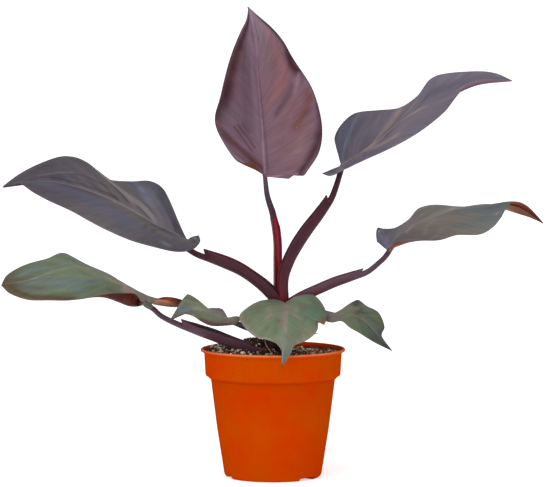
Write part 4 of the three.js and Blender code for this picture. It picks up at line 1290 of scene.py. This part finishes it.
      ("beige", 1.6, 0.6, (50, 75), (40, 50), (30, 35)),
      ("beige", 1.4, 0.6, (36, -10), (30, -20)),
      ("stone", 3, 0.7, (25, 10), (18, 10)),
      ("beige", 3, 0.5, (12, 10), (8, 0)),
    ],
    "lower": ["umber"] * 4,
    "lower_strokes": [
      ("sienna", 2.5, 0.4, (30, -60), (22, -70)),
      ("tan", 10, 0.95, (26, 90), (13, 70), (4, 60)),
      ("copper", 1.2, 0.6, (14, 60), (8, 60)),
    ],
    "midrib": "pale_sage", "midrib_strength": 0.4, "keel": "umber", "rim": "sienna",
    "veins": 13,
    "folds": [(0.42, 0.3, 0.03, 0.5, 0.15, 0.7), (0.6, 0.4, 0.03, 0.5, 0.15, -0.5)],
    "ripples": EDGE_RIPPLES,
  },
  "leaf_6": {
    "slot": "leaf_green",
    "upper": ["stone", "stone", "leafy", "sage", "smoke_green"],
    "upper_strokes": [
      ("smoke_green", 4, 0.8, (95, 20), (86, 75), (80, 60)),
      # Painted blue sheen.
      ("painted_blue_sheen", 5, 0.85, (94, 0), (84, 30), (78, 15)),
      ("wine", 3.2, 0.9, (62, -90), (50, -93), (35, -95)),
      ("ink", 2.4, 0.3, (66, 90), (60, 60)),
      ("pale_sage", 4, 0.5, (64, 10), (54, 10)),
      ("wine", 2.8, 0.85, (66, -93), (60, -95), (45, -100), (25, -95)),
      ("ink", 2.6, 0.4, (20, 90), (10, 70)),
      ("pale_sage", 1.1, 0.7, (70, 20), (58, 5), (40, 5), (20, 10)),
    ],
    "lower": ["sienna", "sienna"],
    "midrib": "pale_sage", "midrib_strength": 0.4, "rim": "plum", "rim_strength": 0.6,
    "veins": 8, "gloss": 0.45,
  },
  "leaf_7": {
    "slot": "leaf_green",
    "upper": ["stone", "leafy", "leafy", "leafy", "sage", "teal"],
    "upper_strokes": [
      ("leafy", 9, 0.6, (40, 80), (50, 50)),
      ("jade", 8, 0.45, (25, -45), (40, -60)),
      ("moss", 5, 0.5, (30, 60), (24, 75)),
      ("moss", 4, 0.5, (22, 30), (15, 40)),
      ("jade", 5, 0.7, (30, -70), (35, -90), (45, -90)),
      ("moss", 4, 0.7, (28, -40), (36, -40)),
      ("teal", 2.2, 0.8, (30, -98), (40, -100)),
      ("bronze", 3.4, 0.95, (43, -95), (50, -97)),
      ("taupe", 3, 0.6, (22, 0), (35, -5), (55, 5), (68, 5)),
      ("sandy", 2.2, 0.35, (30, 35), (45, 35), (50, 50)),
      ("sandy", 2.2, 0.35, (35, -25), (50, -20), (56, -40)),
      ("jade", 4, 0.5, (60, 30), (72, 40)),
      ("jade", 4, 0.5, (62, -25), (74, -35)),
      ("moss", 4, 0.7, (20, -75), (26, -80)),
      ("sage", 4, 0.7, (60, -50), (70, -60)),
      ("teal", 4, 0.9, (80, 0), (90, 0), (100, 0)),
      ("plum", 2.5, 0.8, (97, 0), (100, 0)),
      ("beige", 1.2, 0.6, (75, 90), (68, 95), (50, 97), (30, 97)),
      ("beige", 1.2, 0.5, (72, -90), (65, -95)),
      ("umber", 1.3, 0.35, (55, 25), (60, 20)),
      ("umber", 1.3, 0.3, (50, -60), (55, -55)),
      ("umber", 1.2, 0.3, (35, 60), (36, 55)),
      ("umber", 1.2, 0.3, (60, 60), (61, 55)),
      ("umber", 1.1, 0.25, (45, 85), (46, 80)),
    ],
    "lower": ["tan", "rust", "sienna"],
    "midrib": "taupe", "midrib_strength": 0.5, "rim": "beige",
    "veins": 9, "gloss": 0.45, "freckle": 0.65, "shine": 0.4,
  },
  "leaf_8": {
    "slot": "leaf_green",
    "upper": ["stone", "stone", "sage", "moss", "dark_moss", "ink"],
    "upper_strokes": [
      ("ink", 3.2, 0.8, (36, -85), (38, -70)),
      ("beige", 3, 0.45, (42, 30), (46, 10)),
      ("sage", 5, 0.6, (55, 60), (65, 40)),
      ("beige", 1.3, 0.4, (46, -50), (55, -30), (66, -30)),
      ("dark_moss", 5, 0.9, (56, -30), (64, -32)),
      ("dark_moss", 2.2, 0.8, (48, -60), (52, -30)),
      ("dark_moss", 2.2, 0.6, (60, 40), (66, 60)),
      ("dark_moss", 2.5, 0.7, (72, 10), (76, 30)),
      ("ink", 1.2, 0.4, (50, -20), (62, 0), (75, 10)),
      ("moss", 4, 0.7, (66, -75), (72, -70)),
      ("ink", 2.2, 0.7, (76, -95), (80, -90)),
      ("smoke", 3.6, 0.9, (78, -95), (86, -90), (94, -50), (100, 0)),
      ("moss", 1.4, 0.6, (50, 97), (70, 97)),
    ],
    "lower": ["sienna", "sienna"],
    "midrib": "pale_sage", "midrib_strength": 0.45, "rim": "smoke",
    "veins": 8, "gloss": 0.45, "freckle": 0.6, "coat": 0, "shine": 0.35,
  },
}

# Strokes on a stalk are placed by the percent of its length and by how high they sit on it: 100 in the
# channel, 60 on the wings' rims and -100 underneath.
STALK_LOOKS = {
  "petiole_1": {
    "colour": ["garnet", "garnet", "garnet", "dusk", "smoke"],
    "strokes": [
      ("crimson", 2.2, 0.95, (10, 100), (35, 100), (62, 100)),
      ("burgundy", 0.7, 0.8, (30, 60), (60, 60)),
    ],
  },
  "petiole_2": {
    "colour": ["garnet", "maroon", "maroon", "maroon", "maroon"],
    "strokes": [
      ("cherry", 2, 0.8, (3, 0), (16, 30)),
      ("wine", 1.2, 0.5, (25, 20), (62, 20)),
    ],
  },
  "petiole_3": {
    "colour": ["maroon"] * 5,
    "strokes": [
      ("cherry", 0.9, 0.7, (35, 60), (68, 60)),
      ("cherry", 2, 0.4, (2, 0), (10, 0)),
    ],
  },
  "petiole_4": {
    "colour": ["garnet", "heath", "heath", "plum", "dusk"],
    "strokes": [
      ("mauve", 1.2, 0.35, (10, 50), (60, 60)),
      ("wine", 1.6, 0.5, (10, -60), (60, -60)),
    ],
  },
  "petiole_5": {
    "colour": ["thistle", "thistle", "heath", "plum", "dusk"],
    "strokes": [
      ("wine", 1, 0.5, (30, 60), (62, 60)),
      ("burgundy", 1.5, 0.5, (44, 30), (47, 10)),
    ],
  },
  "petiole_6": {"colour": ["dusk", "dusk", "khaki"], "strokes": []},
  "petiole_7": {"colour": ["garnet", "mauve"], "strokes": []},
  "petiole_8": {"colour": ["dusk", "wine", "khaki"], "strokes": []},
}

materials = {
    "stalk": stalk_material("stalk_skin"),
    "pot": pot_material(),
    "soil": crumb_material("soil_crumb", 0.9, 420, (122, 90, 66), (30, 22, 18)),
    "perlite": crumb_material("perlite_grain", 0.75, 900, (255, 250, 236), (238, 214, 178)),
    "bark": crumb_material("bark_chip", 0.85, 700, (190, 132, 86), (70, 44, 30)),
    "fibre": crumb_material("coir_fibre", 0.8, 900, (186, 150, 110), (88, 60, 40)),
}

for leaf, spec in LEAVES.items():
    make_blade(leaf, spec, {**PLAIN_LOOK, **LEAF_LOOKS[leaf]})
for petiole, spec in STALKS.items():
    make_stalk(petiole, spec, STALK_LOOKS[petiole])

# The stem, the tip of a withered bract that shows behind the front leaf, and the swollen knee that joins the
# lowest left stalk to its blade.
BRACT_PATH = [[3, -5, 108], [14, -11, 115], [26, -16, 119.5], [38.8, -20, 121.6]]
KNEE_PATH = [[-98.5, -17.6, 141.4], [-102.5, -18, 144], [-107, -18.4, 147], [-112, -19, 149.6]]
BRACT_RADII = [1.3, 1.4, 1.1, 0.15]
KNEE_RADII = [1.9, 2.75, 2.1, 0.7]
make_rod_piece(
    "stem_core", STEM_PATH, STEM_RADII, (84, 44, 50), "stem", sides=48, steps=60, bumps=0.35, seed=3, axis=2
)
make_rod_piece("bract", BRACT_PATH, BRACT_RADII, (62, 30, 40), sides=16, steps=30, bumps=0.15, seed=4, axis=0)
make_rod_piece("knee_5", KNEE_PATH, KNEE_RADII, (88, 92, 80), sides=20, steps=30, bumps=0.05, seed=5, axis=0)

make_pot()
make_soil_bed()

# Where grains lie closer together, as (x, y, reach), and the colours of the grains.
CLUMPS = [(-40, -12, 9), (-30, -30, 9), (-46, 8, 6), (34, -30, 10), (46, 4, 7), (8, -44, 9), (28, 20, 9)]
PERLITE_COLOURS = [(255, 244, 216), (255, 250, 232), (252, 230, 190), (255, 240, 214)]
GRIT_COLOURS = [(206, 150, 100), (228, 180, 126), (170, 110, 72), (250, 216, 164), (136, 78, 50)]
RIGHT_CLUMPS = [(30, -22, 10), (40, -8, 8), (24, 12, 9), (44, 10, 6), (16, -36, 8)]
CRUMB_COLOURS = [(66, 48, 38), (46, 34, 28), (92, 66, 48), (116, 82, 58), (36, 28, 25)]
BARK_COLOURS = [(112, 74, 48), (148, 104, 68), (96, 64, 46), (66, 44, 34), (176, 134, 92)]

rng = np.random.default_rng(SEED)
for name, count, sizes, shape, colours, material, lift, level, clumps in (
    ("perlite_grains", 420, (0.5, 1.4), (1, 0.9, 0.85), PERLITE_COLOURS, "perlite", 0.95, 2, CLUMPS),
    ("soil_crumbs", 900, (0.5, 1.5), (1, 1, 0.7), CRUMB_COLOURS, "soil", 0.35, 2, None),
    ("fine_grit", 3600, (0.22, 0.65), (1, 0.9, 0.8), GRIT_COLOURS, "bark", 1, 1, RIGHT_CLUMPS),
    ("bark_chips", 420, (0.5, 1.8), (1.7, 0.8, 0.35), BARK_COLOURS, "bark", 1.2, 2, None),
):
    scatter(name, rng, count, sizes, shape, colours, materials[material], lift, level, clumps)
make_fibres(rng)


# Floor, light and camera

def floor_material():
    g = Graph("pale_floor")
    soft = g.noise(g.place(), 3, 2)
    colour = g.mix(g.span(soft, 0, 1), (252, 252, 252), (247, 247, 248))
    lit = {"Emission_Color": (1, 1, 1, 1), "Emission_Strength": 0.55}
    return g.finish(colour, g.span(soft, 0.7, 0.8), Specular_IOR_Level=0.1, **lit)


def add_light(name, kind, towards, power):
    light = bpy.data.lights.new(name, kind)
    light.energy = power
    obj = link(name, light)
    obj.rotation_euler = Vector(towards).to_track_quat("-Z", "Y").to_euler()
    return obj


def add_box(name, place, size, power):
    """A square lamp at place, turned to the middle of the plant. Places are in metres."""
    middle = Vector((0, 0, 0.2))
    lamp = add_light(name, "AREA", middle - Vector(place), power)
    lamp.data.size = size
    lamp.location = place


FLOOR_HALF = 90_000
corners = [[x * FLOOR_HALF, y * FLOOR_HALF, 0] for x, y in ((-1, -1), (1, -1), (1, 1), (-1, 1))]
floor = add_mesh("floor", corners, [[0, 1, 2, 3]], [floor_material()])

world = bpy.data.worlds.new("studio")
bpy.context.scene.world = world
world.use_nodes = True
background = world.node_tree.nodes["Background"].inputs
background["Color"].default_value = (0.97, 0.98, 1.0, 1)
background["Strength"].default_value = 0.42

add_light("soft_sun", "SUN", (0.35, 1.0, -1.25), 1.3).data.angle = math.radians(70)
add_box("key_box", (-0.9, -1.3, 1.2), size=0.9, power=6)
add_box("side_box", (1.3, -0.5, 0.7), size=0.8, power=2.5)

# The camera stands 3 m in front of the pot and looks down a little.
CAMERA_PLACE = (0.0015, -2.979, 0.419)
LOOK_DOWN, LOOK_ASIDE = 4.322, -0.0037
view = bpy.data.cameras.new("camera")
view.sensor_width, view.lens, view.clip_end = 36, 236.6, 400
camera = link("camera", view)
camera.location = CAMERA_PLACE
camera.rotation_euler = (math.radians(90 - LOOK_DOWN), 0, math.radians(LOOK_ASIDE))
bpy.context.scene.camera = camera
bpy.context.scene.view_settings.view_transform = "Standard"
